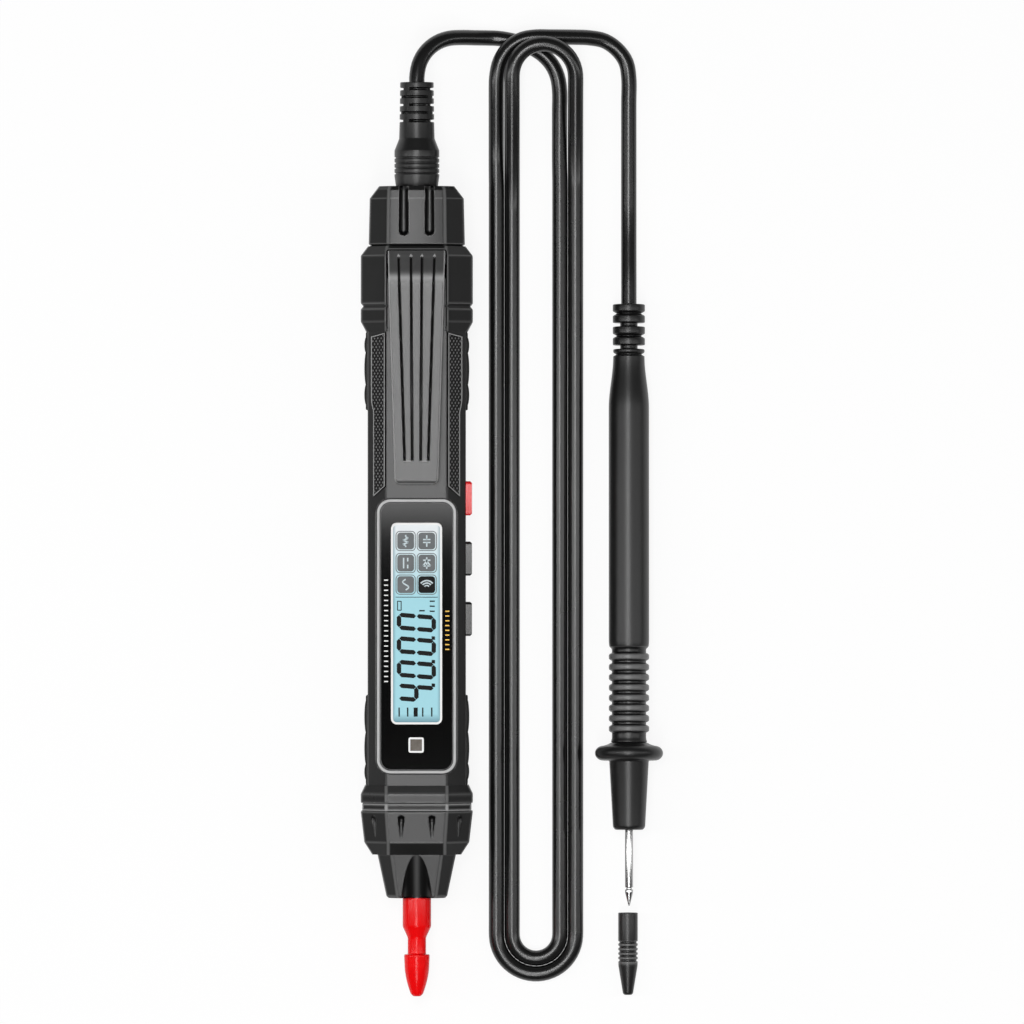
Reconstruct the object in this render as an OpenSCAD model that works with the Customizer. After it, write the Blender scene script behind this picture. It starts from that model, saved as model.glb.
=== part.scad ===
// Pen multimeter with its plug-in test lead.
// The pen lies on its back along Y, display up; the lead, the test probe and its loose cap lie beside it.
// Origin: middle of the pen's length, on the surface it lies on. Millimetres.

/* [Battery cells and housing] */
// Diameter of a battery cell
cell_d = 10.2; // [9.8:0.1:10.5]
// Length of a battery cell
cell_len = 44.5; // [43:0.1:45.5]
// Wall of the two half shells
wall = 1.4; // [1.2:0.05:1.5]
// Gap between a cell and the side wall beside it
cell_side_gap = 0.25; // [0.15:0.05:0.5]
// Height of the parting plane above the back flat
parting_h = 8.5; // [8:0.1:9]
// Radius on the long edges of the housing
edge_r = 1.1; // [0.6:0.1:1.6]
// Gap left between pieces that slip into each other
fit = 0.1; // [0.05:0.01:0.15]

/* [Collars and nose] */
// How far the collars stand out from the side flats
collar_proud_w = 1.7; // [1.2:0.1:2.4]
// How far the collars stand out from the front and back flats
collar_proud_d = 1; // [0.8:0.1:1.6]
// Length of the rear collar that carries the clip
collar_len = 20.8; // [20:0.2:23]
// Length of the rear end cap
cap_len = 14.7; // [14:0.1:17]
// Length of the front collar
flange_len = 4.3; // [4:0.1:5]
// Length of the seal ring between front collar and nose collar
seal_len = 2; // [1.5:0.1:2.5]
// Length of the nose collar
nose_collar_len = 10.6; // [10:0.1:12]
// Length of the nose cone in front of its collar
nose_len = 10.7; // [9:0.1:12]

/* [Display] */
// Length of the raised display bezel
bezel_len = 67.4; // [62:0.1:75]
// Distance of the bezel from the front end of the housing
bezel_from_front = 2.8; // [2.4:0.1:4]
// Outer corner radius of the bezel
bezel_r = 3.6; // [2.8:0.1:4.2]
// Width of the bezel's rim
bezel_rim = 0.9; // [0.7:0.05:1.1]
// Distance from the screen's side to the bezel's outer side
screen_side = 3.65; // [3:0.05:4]
// Distance from the screen's front end to the bezel's front end
screen_front = 12.3; // [11:0.1:13]
// Distance from the screen's rear end to the bezel's rear end
screen_rear = 5.9; // [4:0.1:8]
// Side of the square sensor lens below the screen
sensor_side = 3; // [2.4:0.1:3.4]

/* [Side buttons] */
// Length of a side button along the pen
button_len = 8.4; // [7:0.1:9]
// Height of a side button across the side flat
button_h = 3.8; // [3.2:0.1:4]
// How far a side button stands out from the side flat
button_proud = 1.5; // [1:0.1:1.6]
// Distance between neighbouring side buttons
button_pitch = 14.75; // [13.5:0.05:15.5]
// Travel of a side button
button_travel = 0.6; // [0.3:0.05:0.7]

/* [Facet pads] */
// Length of the pad on each front facet
pad_len = 40.2; // [36:0.1:46]
// Width of the pad on each front facet
pad_w = 4.9; // [4:0.1:5.2]

/* [Clip] */
// Width of the clip at its root
clip_w = 14; // [12:0.1:14.2]
// Width of the clip at its free end
clip_end_w = 10.6; // [8.5:0.1:11]
// Distance of the clip's free end from the display bezel
clip_from_bezel = 3.4; // [2:0.1:10]
// Thickness of the clip's blade
clip_t = 1.8; // [1.4:0.1:2.2]
// Height of the clip's upper face above the housing's front flat
clip_rise = 5; // [4.6:0.1:6]

/* [Needle and needle cap] */
// Radius of the pen's measuring needle
needle_r = 1; // [0.8:0.05:1.2]
// Radius of the needle cap at its root
tip_cap_r = 3.5; // [3:0.1:3.8]
// Length of the needle cap in front of the nose
tip_cap_len = 24.2; // [22:0.1:26]

/* [Lead and probe] */
// Diameter of the lead
lead_d = 3.5; // [3.1:0.1:3.5]
// Radius of the lead's inner loop, on its centreline
loop_r = 5.8; // [5:0.1:6]
// Step from the inner loop to the outer loop
loop_pitch = 3.95; // [3.9:0.01:4.1]
// Number of loops in the hank
loops = 2; // [2:1:2]
// Length of the plug's moulded boot
boot_len = 26.6; // [26.4:0.1:26.8]
// Largest radius of the plug's boot
boot_r = 5.5; // [5:0.1:5.8]
// Radius of the plug's contact pin
pin_r = 2; // [1.8:0.05:2.2]
// Length of the plug's contact pin
pin_len = 19; // [14:0.5:20]
// Radius of the probe's handle
handle_r = 4.95; // [4.2:0.05:5.4]
// Length of the probe's handle from strain relief to finger guard
handle_len = 96.6; // [94:0.1:100]
// Radius of the probe's finger guard
guard_r = 8.35; // [7.5:0.05:9]
// Radius of the probe's needle
probe_needle_r = 0.98; // [0.8:0.02:1.1]
// Length of the probe's needle outside its nose
probe_needle_len = 18.6; // [16:0.1:19]
// Radius of the probe's needle cap
probe_cap_r = 2.4; // [2:0.05:2.8]
// Length of the probe's needle cap
probe_cap_len = 20.2; // [19.6:0.1:22]

/* [Hidden] */

cut = 1;          // overrun of a cutting tool past the face it cuts
$fn = 48;
corner_steps = 3; // straight pieces in one rounded long edge
hair = 0.05;      // gap left between flat faces that rest on each other

// Colours
black_plastic = [0.12, 0.12, 0.125];
grey_metal = [0.42, 0.42, 0.43];
red_plastic = [0.85, 0.05, 0.05];
soft_black = [0.09, 0.09, 0.09];
brass = [0.78, 0.62, 0.3];
steel = [0.75, 0.75, 0.76];
board_green = [0.1, 0.35, 0.2];

// Heights, stacked up from the surface: cells, switches, board, screen and panel
cell_r = cell_d / 2;
cell_gap = 0.3;
cell_x = cell_r + cell_gap / 2;
cell_floor_gap = 0.75;
cell_facet_gap = 0.22;
switch_gap = 0.28;       // left between a cell and the switch above it
switch_h = 3;
board_t = 1.2;
holder_t = 2.25;
lcd_t = 1.85;
lcd_sink = 0.22;         // face of the screen below the panel's face
panel_t = 1;
seat_drop = 0.75;        // seat of bezel and panel below the front flat
back_z = collar_proud_d;
cell_z = back_z + wall + cell_floor_gap + cell_r;
board_z0 = cell_z + cell_r + switch_gap + switch_h;
board_z1 = board_z0 + board_t;
holder_z0 = board_z1 + hair;
holder_z1 = holder_z0 + holder_t;
lcd_z0 = holder_z1 + hair;
lcd_z1 = lcd_z0 + lcd_t;
seat_z = lcd_z1 + lcd_sink - panel_t;
front_z = seat_z + seat_drop;
parting_z = back_z + parting_h;

// Housing drawn round the two cells and that stack
body_w = 2 * (cell_x + cell_r + cell_side_gap + wall);
body_d = front_z - back_z;
axis_z = back_z + body_d / 2;
facet_w = 2 * (cell_x + axis_z - cell_z + sqrt(2) * (cell_r + cell_facet_gap + wall)) - body_d;
side_half = body_d / 2 - (body_w - facet_w) / 2;
side_low_z = axis_z - side_half;
side_high_z = axis_z + side_half;
chamfer_tan = tan(22.5);
inner_w = body_w - 2 * wall;
inner_d = body_d - 2 * wall;
inner_facet = facet_w - 2 * wall * chamfer_tan;
collar_w = body_w + 2 * collar_proud_w;
collar_d = body_d + 2 * collar_proud_d;

// Display
holder_side_gap = 0.4;
holder_rim = 0.75;       // holder outside the screen's edge, sideways
holder_end = 1.5;        // holder outside the screen's edge, lengthways
holder_w = 2 * ((inner_d + inner_facet) / 2 - (holder_z1 - axis_z) - holder_side_gap);
screen_w = holder_w - 2 * holder_rim;
screen_len = bezel_len - screen_front - screen_rear;
screen_r = 1.3;
bezel_w = screen_w + 2 * screen_side;
bezel_h = 1.4;
platform_rim = 0.2;      // how far the platform stands out round the bezel
panel_gap = 0.32;        // dark joint between rim and panel
panel_w = bezel_w - 2 * bezel_rim - 2 * panel_gap;
panel_len = bezel_len - 2 * bezel_rim - 2 * panel_gap;
panel_r = bezel_r - bezel_rim - panel_gap;

// Stations along the pen, from the needle cap's end to the rear cap's end
pad_bezel_gap = 0.3;
pad_collar_gap = 0.3;
body_len = bezel_from_front + bezel_len + pad_bezel_gap + pad_len + pad_collar_gap;
pen_len = tip_cap_len + nose_len + nose_collar_len + seal_len + flange_len + body_len + collar_len + cap_len;
y_tip = -pen_len / 2;
y_nose = y_tip + tip_cap_len;
y_nose_collar = y_nose + nose_len;
y_seal = y_nose_collar + nose_collar_len;
y_flange = y_seal + seal_len;
y_body = y_flange + flange_len;
y_collar = y_body + body_len;
y_cap = y_collar + collar_len;
y_end = y_cap + cap_len;
bezel_y = y_body + bezel_from_front + bezel_len / 2;
bezel_end_y = bezel_y + bezel_len / 2;
screen_y = bezel_end_y - screen_rear - screen_len / 2;
sensor_from_front = 10;
sensor_y = y_body + sensor_from_front;
sensor_stem_r = 1;

// Half shells
shell_in_collar = 4.4;   // length of the shells that slips into the rear collar
shell_in_flange = 3.4;   // length of the shells that slips into the front collar
shell_y0 = y_body - shell_in_flange;
shell_y1 = y_collar + shell_in_collar;

// Circuit board
board_side_gap = 0.3;    // left between the board and a pressed button
board_from_front = 6.2;
board_past_button = 8;   // board behind the power button's middle
board_y0 = y_body + board_from_front;
board_y1 = bezel_end_y + board_past_button;
board_screw_from_side = 2;
board_screw_inset = 2.8;
board_screw_r = 0.8;
board_boss_r = 1.6;
board_head_r = 1.5;
board_head_h = 0.8;
board_screw_len = 2;
chip_h = 0.9;
chip_side = 7;

// Side buttons and the switches behind them
switch_len = 6;
switch_depth = 3.6;
plunger_len = 0.6;
plunger_r = 0.8;
button_flange_t = 0.8;
button_flange_h = 2.8;
button_flange_over = 0.9; // flange past each end of the button
button_stem = 0.45;
press_gap = 0.1;
button_z = board_z0 - switch_h / 2;
button_round = 0.9;
button_edge = 0.45;
flange_x = inner_w / 2 - fit;
board_w = 2 * (flange_x - button_flange_t - button_travel - board_side_gap);
board_screw_x = board_w / 2 - board_screw_from_side;
stem_x = flange_x - button_flange_t - button_stem;
plunger_x = stem_x - button_travel - press_gap;
power_y = bezel_end_y;
hold_y = power_y - button_pitch;
select_y = hold_y - button_pitch;

// Screws
screw_r = 0.95;
pilot_r = 1;
screw_head_r = 1.75;
screw_head_h = 1.1;
slot_w = 0.4;
slot_depth = 0.35;
boss_r = 2;
screw_from_facet = 0.35;
housing_screw_x = facet_w / 2 - screw_head_r - screw_from_facet;
housing_screw_y = y_body + 3;
housing_screw_len = 14;
door_screw_len = 6.5;

// Battery bay
nub_r = 1.9;
nub_len = 0.8;
spring_room = 4.2;       // length of a pressed contact spring
bulkhead_t = 1.2;
plate_t = 0.4;
bay_from_collar = 1.1;   // bay's rear plate behind the front edge of the rear collar
bay_y1 = y_collar + bay_from_collar;
bay_y0 = bay_y1 - cell_len - spring_room - 2 * hair;
plate_w = 7.6;
plate_h = 7.2;
spring_wire_r = 0.3;
spring_turns = 4;
spring_small_r = 1.6;
spring_big_r = 3.2;

// Battery door
door_gap = 0.15;
door_front_land = 5.8;   // door in front of the bay's front bulkhead
door_y0 = bay_y0 - plate_t - bulkhead_t - door_front_land;
door_y1 = y_collar - door_gap;
door_screw_y = door_y0 + door_front_land / 2;
door_lip_len = 1.2;
door_lip_w = 8;
door_lip_t = 0.6;
door_groove_count = 4;
door_groove_pitch = 1.7;
door_groove_len = 0.8;
door_groove_depth = 0.35;
door_groove_w = 8.4;
door_groove_from_rear = 3.4;

// Rear collar, rear cap and jack
shoulder_len = 2.3;
collar_lead_len = 2.4;   // taper from the collar down to the housing
groove_y_from_front = 5.4;
groove_len = 1.5;
groove_depth = 0.55;
groove_slope = 0.2;
collar_bore_wall = 2.5;  // collar bore inside the housing's sides
collar_bore_chamfer = 2.5;
cap_inset_w = 0.25;      // rear cap inside the housing's side flats
cap_inset_d = 0.3;       // rear cap inside the housing's front flat
cap_inset_facet = 0.45;
cap_w = body_w - 2 * cap_inset_w;
cap_d = body_d - 2 * cap_inset_d;
cap_facet = facet_w - 2 * cap_inset_facet;
collar_bore_w = body_w - 2 * collar_bore_wall;
collar_bore_facet = collar_bore_w - 2 * collar_bore_chamfer;
cap_spigot_len = 4.2;
cap_round_len = 3.3;
cap_round = 4;           // how far the cap's end edge is drawn in
cap_taper = 0.5;
flute_x = 3.15;
flute_r = 1.15;
flute_depth = 1;
flute_from_seam = 2.6;
mouth_r = 5.7;
mouth_depth = 1;
jack_wall = 0.1;
jack_len = 20.5;
sleeve_r = 2.8;
sleeve_len = 19.4;
sleeve_fit = 0.04;
tail_r = 0.8;
tail_len = 2.5;
wire_r = 0.65;
wire_rise_len = 14;      // from the jack up to the housing's front wall
wire_fall_len = 4;       // from there down onto the board

// Nose
seal_inset = 0.35;
flange_end_share = 0.4;  // of the collar's height left at its edge beside the housing
nose_flange_len = 1.8;
nose_flange_over = 1;
nose_lip_len = 1.5;
nose_edge = 0.5;
collar_end_len = 3;      // chamfer at the nose collar's front end
collar_front_in_w = 0.85; // nose collar drawn in from its rear edge, as far as the chamfer
collar_front_in_d = 0.6;
collar_end_in_w = 2.8;   // nose collar drawn in at its front end
collar_end_in_d = 1.9;
collar_facet_in = 0.5;
collar_front_w = collar_w - 2 * collar_front_in_w;
collar_front_d = collar_d - 2 * collar_front_in_d;
collar_end_w = collar_w - 2 * collar_end_in_w;
collar_end_d = collar_d - 2 * collar_end_in_d;
collar_end_facet = facet_w - 2 * collar_facet_in;
nose_in_w = 1.3;         // nose cone inside the nose collar's front end
nose_in_d = 1.1;
nose_draw_w = 2.15;      // nose cone drawn in from its root to its front end
nose_draw_d = 2.1;
nose_w = collar_end_w - 2 * nose_in_w;
nose_d = collar_end_d - 2 * nose_in_d;
nose_end_w = nose_w - 2 * nose_draw_w;
nose_end_d = nose_d - 2 * nose_draw_d;
nose_chamfer = 3.4;
nose_end_chamfer = 2.65;
nose_facet = nose_w - 2 * nose_chamfer;
nose_end_facet = nose_end_w - 2 * nose_end_chamfer;
web_t = 1.8;
spigot_wall = 1.3;
drop_r = 0.95;
drop_len = 4.6;
drop_x_front = 3.75;
drop_tilt = 7;
scoop_r = 4.1;
scoop_len = 14;
scoop_tilt = 24;
needle_point_len = 2.5;
needle_tip_gap = 2.1;    // needle's point behind the cap's end
needle_back = 1.6;       // needle's rear end in front of the housing's front end
needle_shoulder_r = 2.2;
needle_shoulder_len = 2;
cap_seat_depth = 1.6;

// Needle cap, as lengths from the nose and radii
tip_barrel_len = 7.1;
tip_cone_len = 2.7;
tip_neck_r = 2.25;
tip_neck_len = 4.1;
tip_barb_r = 3.15;
tip_barb_len = 2.1;
tip_step = 0.35;
tip_end_r = 1.5;
tip_end_len = 0.6;
tip_end_flat = 0.6;      // share of the end radius left flat
ogive_steps = 6;
ogive_power = 1.8;

// Side grips and facet pads
grip_t = 0.8;
grip_wave = 0.35;
grip_lead = 0.7;
grip_h = 9.4;
rear_grip_len = 19.2;
front_grip_len = 22;
rear_notch_shares = [0.325, 0.734];  // notches between the lobes, from the front end
front_notch_shares = [0.232, 0.586];
lobe_steps = 6;
pad_t = 0.35;
pad_slant = 2.6;
pad_top_slant = 0.9;
pad_step = 0.75;         // how far the outer edge steps in
pad_step_at = 20.5;      // where it steps in, from the front end
pad_step_len = 4;
pad_edge_gap = 0.1;      // left between the pad and the front flat's edge
pad_x = facet_w / 2 + (pad_w / 2 + pad_edge_gap) * cos(45);

// Clip
clip_root_from_rear = 2.7;
clip_root_r = 1.5;
clip_root_drop = 2.1;
clip_ramp_len = 5.15;
clip_fall = 1.3;         // how much lower the free end lies than the bend
clip_foot_len = 4.2;
clip_foot_gap = 0.15;
clip_corner = 1.3;
clip_side_gap = 0.35;
clip_end_round = 1.5;    // length over which the free end rounds down
clip_end_drop = 1.3;     // how far it rounds down
clip_end_steps = 4;
clip_groove_w = 0.62;
clip_groove_depth = 0.55;
clip_panel_depth = 0.22;
clip_groove_in = 1.1;   // inner groove from the middle, at the free end
clip_groove_out = 3;  // outer groove from the middle, at the free end
clip_groove_in_root = 1.5;
clip_edge = 0.2;         // edge breaks of the clip
clip_groove_out_root = 4.6;
clip_groove_from_end = 5.2;
clip_groove_from_root = 1.6;

// Plug boot, from its nose
boot_nose_r = 5;
boot_nose_len = 3.6;
boot_grip_len = 6.3;
boot_grip_grooves = 4;
boot_grip_pitch = 1.27;
boot_grip_depth = 0.3;
boot_grip_gap = 0.35;
boot_cone_len = 2.9;
boot_neck_r = 4.35;
boot_neck_len = 3.5;
relief_r = 4.1;
relief_core_r = 2.5;
relief_slots = 5;
relief_pitch = 1.95;
relief_slot = 0.62;
relief_bridge = 2;
relief_turns = [-50, 35]; // direction of the bridges, turn about
boot_clear = 0.1;

// Probe, from the guard's middle; plus is towards the lead
guard_half = 2.2;
guard_root = 1;
guard_core_r = 4.6;
rib_count = 8;
rib_pitch = 2.52;
rib_depth = 0.75;
rib_foot = 0.7;          // half length of a rib at its foot and near its top
rib_top = 0.4;
rib_root_r = handle_r - rib_depth;
rib_start = 3.4;
shoulder_len_p = 12.5;
shoulder_steps = 5;
collar_p_len = 1.9;      // straight collar behind the handle's shoulder
collar_p_r = 3.85;
relief_p_r = 3.95;
relief_p_neck = 2.15;
relief_p_disc = 4.5;
relief_p_gap = 1;
relief_p_discs = 2;
relief_p_groove = 1.05;
relief_p_depth = 0.4;
relief_spigot_len = 3;
relief_spigot_r = 2.6;
nose_p_r = 4.85;
nose_p_end_r = 3.95;
nose_p_len = 17;
nose_p_round = 0.7;
probe_point_len = 3.2;
probe_notch_len = 0.5;
probe_notch_depth = 0.3;
probe_notch_at = 4;
probe_shank_r = 0.7;     // needle inside the nose
crimp_r = 1.7;
crimp_len = 10;
probe_x = 52;
probe_y = y_body + 8.1;
relief_p_len = relief_p_discs * relief_p_disc + relief_p_discs * relief_p_gap;
probe_back = guard_half + handle_len + relief_p_len;
probe_tilt = asin((guard_r - relief_p_r) / probe_back);
probe_cap_end_r = 1.25;
probe_cap_taper_len = 8.2;
probe_cap_rib_count = 5;
probe_cap_rib_pitch = 1.1;
probe_cap_rib_depth = 0.3;
probe_cap_rib_gap = 0.5;
probe_cap_bore_len = 19;
probe_cap_y = y_tip;
probe_cap_x = 51.8;

// Lead
lead_r = lead_d / 2;
lead_sides = 8;
hank_sides = 6;
hank_x = 29.2;
hank_top_y = 126.3;
hank_bottom_y = -84.3;
hank_open_y = 100;       // where the free stretches join the hank
hump_len = 45;           // from the crown to where the loops lie flat
layer = 4.05;            // height of one lead crossing another
run_steps = 8;
run_power = 1.3;         // closer points near the crown than near the bottom
turn_steps = 8;
plug_y = y_end - mouth_depth;
exit_y = plug_y + boot_len;
lead_pen_y = 124.7;      // the plug's end at the chosen sizes, which the route starts from

// Free stretch from the plug to the hank's inner loop
lead_exit_points = [
  [0, 124.7, 11.5], [0, 126.2, 11.4], [0.6, 129.4, 10.9], [2.2, 132.3, 9.9], [4.7, 134.5, 8.5],
  [7.7, 135.7, 6.8], [11, 136, 4.9], [14.2, 136, 3.2], [17.2, 136, 2.1], [20, 135.9, 1.75],
  [23, 135.4, 1.75], [25.9, 134.6, 1.75], [28.6, 133.4, 1.75], [31.1, 131.7, 1.75], [33.2, 129.3, 1.75],
  [34.5, 126.4, 1.75], [35, 123, 1.75], [35, 118, 1.75], [35, 112, 1.75], [35, 106, 1.75], [35, 100, 1.75]];
// Free stretch from the hank's outer loop to the probe
lead_probe_points = [
  [19.45, 100, 1.75], [19.45, 104, 1.8], [19.45, 109, 2.2], [19.45, 114, 3.1], [19.45, 119, 4.2],
  [19.45, 123, 5], [19.55, 126.3, 5.5], [20.4, 130.2, 5.75], [22.6, 133.5, 5.8], [25.7, 135.5, 5.8],
  [29.2, 136.1, 5.8], [32.7, 136.1, 5.7], [36, 136.1, 5.1], [39.2, 136.1, 4.1], [42.3, 136, 3],
  [46, 135.3, 2.2], [49.1, 133.2, 1.85], [51.3, 130.1, 1.75], [52, 126.3, 1.75], [52, 120, 1.75],
  [52, 112, 1.75], [52, 103, 1.75], [52, 95, 1.85], [52, 88, 2.2], [52, 82, 2.9], [52, 77.5, 3.45],
  [52, 74, 3.7]];

// Outlines

// Points of one corner of an outline, rounded with radius r.
function corner(a, b, c, r) =
  let (u = (a - b) / norm(a - b), v = (c - b) / norm(c - b), half = acos(u * v) / 2,
       mid = b + (u + v) / norm(u + v) * r / sin(half), s = b + u * r / tan(half) - mid,
       e = b + v * r / tan(half) - mid, a0 = atan2(s[1], s[0]),
       turn = atan2(s[0] * e[1] - s[1] * e[0], s * e))
  [for (i = [0:corner_steps]) let (a = a0 + turn * i / corner_steps) mid + r * [cos(a), sin(a)]];

function rounded(points, r) =
  let (n = len(points))
  [for (i = [0:n - 1]) each corner(points[(i + n - 1) % n], points[i], points[(i + 1) % n], r)];

// Eight-sided section with 45 degree facets: width w, depth d, flats of width f.
function section(w, d, f, r = edge_r) =
  let (s = d / 2 - (w - f) / 2)
  rounded([[w / 2, -s], [w / 2, s], [f / 2, d / 2], [-f / 2, d / 2],
           [-w / 2, s], [-w / 2, -s], [-f / 2, -d / 2], [f / 2, -d / 2]], r);

function box_outline(w, l, r) =
  rounded([[w / 2, -l / 2], [w / 2, l / 2], [-w / 2, l / 2], [-w / 2, -l / 2]], r);

function smooth(t) = t * t * (3 - 2 * t);

// Solids

// A flat shape drawn in X and Z, carried along Y from y0 to y1.
module along_y(y0, y1) {
  translate([0, y1, 0]) rotate([90, 0, 0]) linear_extrude(y1 - y0) children();
}

module section_bar(y0, y1, w, d, f, r = edge_r) {
  translate([0, 0, axis_z]) along_y(y0, y1) polygon(section(w, d, f, r));
}

// Skin over sections, each [y, points in X and Z], all with the same count of points.
module loft(stations) {
  n = len(stations[0][1]);
  last = len(stations) - 1;
  points = [for (s = stations) for (p = s[1]) [p[0], s[0], p[1]]];
  sides = [for (k = [0:last - 1]) for (i = [0:n - 1])
    let (j = (i + 1) % n, a = k * n, b = a + n) each [[a + i, a + j, b + j], [a + i, b + j, b + i]]];
  polyhedron(points, concat([[for (i = [n - 1:-1:0]) i]], sides, [[for (i = [0:n - 1]) last * n + i]]));
}

// Loft of eight-sided sections about the pen's axis: each row is [y, w, d, f].
module section_loft(rows, r = edge_r) {
  translate([0, 0, axis_z]) loft([for (s = rows) [s[0], section(s[1], s[2], s[3], r)]]);
}

// Solid of revolution about the line x = 0, z = 0: rows are [y, radius].
module turned(rows) {
  rotate([-90, 0, 0]) rotate_extrude()
    polygon(concat([[0, rows[0][0]]], [for (s = rows) [s[1], s[0]]], [[0, rows[len(rows) - 1][0]]]));
}

module rod_y(y0, y1, r) {
  translate([0, y0, 0]) rotate([-90, 0, 0]) cylinder(h = y1 - y0, r = r);
}

module on_axis() {
  translate([0, 0, axis_z]) children();
}

module block(x0, x1, y0, y1, z0, z1) {
  translate([x0, y0, z0]) cube([x1 - x0, y1 - y0, z1 - z0]);
}

module both_sides() {
  children();
  mirror([1, 0, 0]) children();
}

// Rounded plate lying flat, drawn in X and Y.
module plate(w, l, r, y, z0, z1) {
  translate([0, y, z0]) linear_extrude(z1 - z0) polygon(box_outline(w, l, r));
}

// Ring of points round a path point; up is a direction the path never takes.
function ring(p, t, r, sides, up) =
  let (s = cross(t, up) / norm(cross(t, up)), n = cross(s, t))
  [for (i = [0:sides - 1]) let (a = 360 * (i + 0.5) / sides) p + r * (cos(a) * s + sin(a) * n)];

function tangent(path, i) =
  let (n = len(path) - 1, d = path[min(n, i + 1)] - path[max(0, i - 1)]) d / norm(d);

// One unbroken tube along a path, its ends square to the given directions.
module tube(path, r, sides, first, last, up = [0, 0, 1]) {
  n = len(path);
  points = [for (i = [0:n - 1])
    each ring(path[i], i == 0 ? first : i == n - 1 ? last : tangent(path, i), r, sides, up)];
  faces = [for (k = [0:n - 2]) for (i = [0:sides - 1])
    let (j = (i + 1) % sides, a = k * sides, b = a + sides)
      each [[a + i, b + j, b + i], [a + i, a + j, b + j]]];
  polyhedron(points, concat([[for (i = [sides - 1:-1:0]) i]], faces,
                            [[for (i = [0:sides - 1]) (n - 1) * sides + i]]));
}

// Screw lying along Z with its slotted head at the bottom.
module screw(length, head_r, head_h, shank_r) {
  difference() {
    union() {
      cylinder(h = head_h, r = head_r);
      cylinder(h = length, r = shank_r);
    }
    translate([-head_r, -slot_w / 2, -cut]) cube([2 * head_r, slot_w, cut + slot_depth]);
  }
}

// Housing

module housing_hollow() {
  section_bar(shell_y0 - cut, shell_y1 + cut, inner_w, inner_d, inner_facet, edge_r / 2);
}

module facet_place() {
  translate([pad_x, y_collar - pad_collar_gap - pad_len, front_z - (pad_x - facet_w / 2)])
    rotate([0, 45, 0]) children();
}

// Outline of the pad on a front facet: slanted ends and an outer edge that steps in.
module pad_outline(grow) {
  offset_w = pad_w / 2 + grow;
  polygon([
    [-offset_w, pad_slant - grow], [offset_w - pad_step, -grow], [offset_w - pad_step, pad_step_at],
    [offset_w, pad_step_at + pad_step_len], [offset_w, pad_len - pad_top_slant + grow],
    [-offset_w, pad_len + grow]]);
}

module button_hole(y) {
  block(inner_w / 2 - cut, body_w / 2 + cut, y - button_len / 2 - fit, y + button_len / 2 + fit,
        button_z - button_h / 2 - fit, button_z + button_h / 2 + fit);
}

module front_shell() {
  color(black_plastic) {
    difference() {
      union() {
        intersection() {
          section_bar(shell_y0, shell_y1, body_w, body_d, facet_w);
          block(-body_w, body_w, shell_y0 - cut, shell_y1 + cut, parting_z, front_z + cut);
        }
        plate(bezel_w + 2 * platform_rim, bezel_len + 2 * platform_rim, bezel_r + platform_rim, bezel_y,
              front_z - (bezel_w + 2 * platform_rim - facet_w) / 2 - wall / 2, seat_z + platform_rim);
      }
      housing_hollow();
      plate(bezel_w + 2 * fit, bezel_len + 2 * fit, bezel_r + fit, bezel_y, seat_z, front_z + cut);
      plate(screen_w + 4 * fit, screen_len + 4 * fit, screen_r, screen_y, seat_z - wall - cut, seat_z + cut);
      translate([0, sensor_y, seat_z - wall - cut]) cylinder(h = wall + 2 * cut, r = sensor_stem_r + fit);
      for (y = [power_y, hold_y, select_y]) button_hole(y);
      both_sides() facet_place() translate([0, 0, -pad_t]) linear_extrude(pad_t + cut) pad_outline(fit);
    }
    both_sides() housing_boss();
    both_sides() for (y = [board_y0 + board_screw_inset, board_y1 - board_screw_inset]) board_boss(y);
    for (s = cell_rib_shares) cell_rib(board_y1 + s * (y_collar - board_y1));
  }
}

cell_rib_t = 1.2;
cell_rib_shares = [0.13, 0.72]; // of the way from the board to the rear collar
wire_notch_w = 3;
wire_notch_h = 4;
wire_notch_z = front_z - wall - wire_notch_h;

// What lies inside the middle of the housing's wall, from y0 to y1.
module inside_wall(y0, y1) {
  section_bar(y0, y1, body_w - wall, body_d - wall, facet_w - wall * chamfer_tan);
}

// Boss that takes a housing screw, drilled blind from the parting plane.
module housing_boss() {
  difference() {
    intersection() {
      translate([housing_screw_x, housing_screw_y, parting_z + hair]) cylinder(h = body_d, r = boss_r);
      inside_wall(housing_screw_y - boss_r - cut, housing_screw_y + boss_r + cut);
    }
    translate([housing_screw_x, housing_screw_y, parting_z - cut])
      cylinder(h = housing_screw_len + back_z + cut - parting_z + fit + cut, r = pilot_r);
  }
}

module board_boss(y) {
  difference() {
    intersection() {
      translate([board_screw_x, y, board_z1 + hair]) cylinder(h = body_d, r = board_boss_r);
      inside_wall(y - board_boss_r - cut, y + board_boss_r + cut);
    }
    translate([board_screw_x, y, board_z1 - cut]) cylinder(h = board_screw_len + cut, r = board_screw_r);
  }
}

// Cross rib that keeps both cells down, notched for the jack wire.
module cell_rib(y) {
  difference() {
    intersection() {
      inside_wall(y, y + cell_rib_t);
      block(-body_w, body_w, y - cut, y + cell_rib_t + cut, cell_z, front_z);
    }
    both_sides() translate([cell_x, 0, cell_z]) rod_y(y - cut, y + cell_rib_t + cut, cell_r + fit);
    block(-cell_r, cell_r, y - cut, y + cell_rib_t + cut, cell_z - cut, cell_z + cell_r / 2);
    block(-wire_notch_w / 2, wire_notch_w / 2, y - cut, y + cell_rib_t + cut, wire_notch_z, front_z - wall);
    both_sides() block(cell_x + cell_r - fit, cell_x + cell_r + wall, y - cut, y + cell_rib_t + cut,
                       cell_z - cut, parting_z);
  }
}

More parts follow.
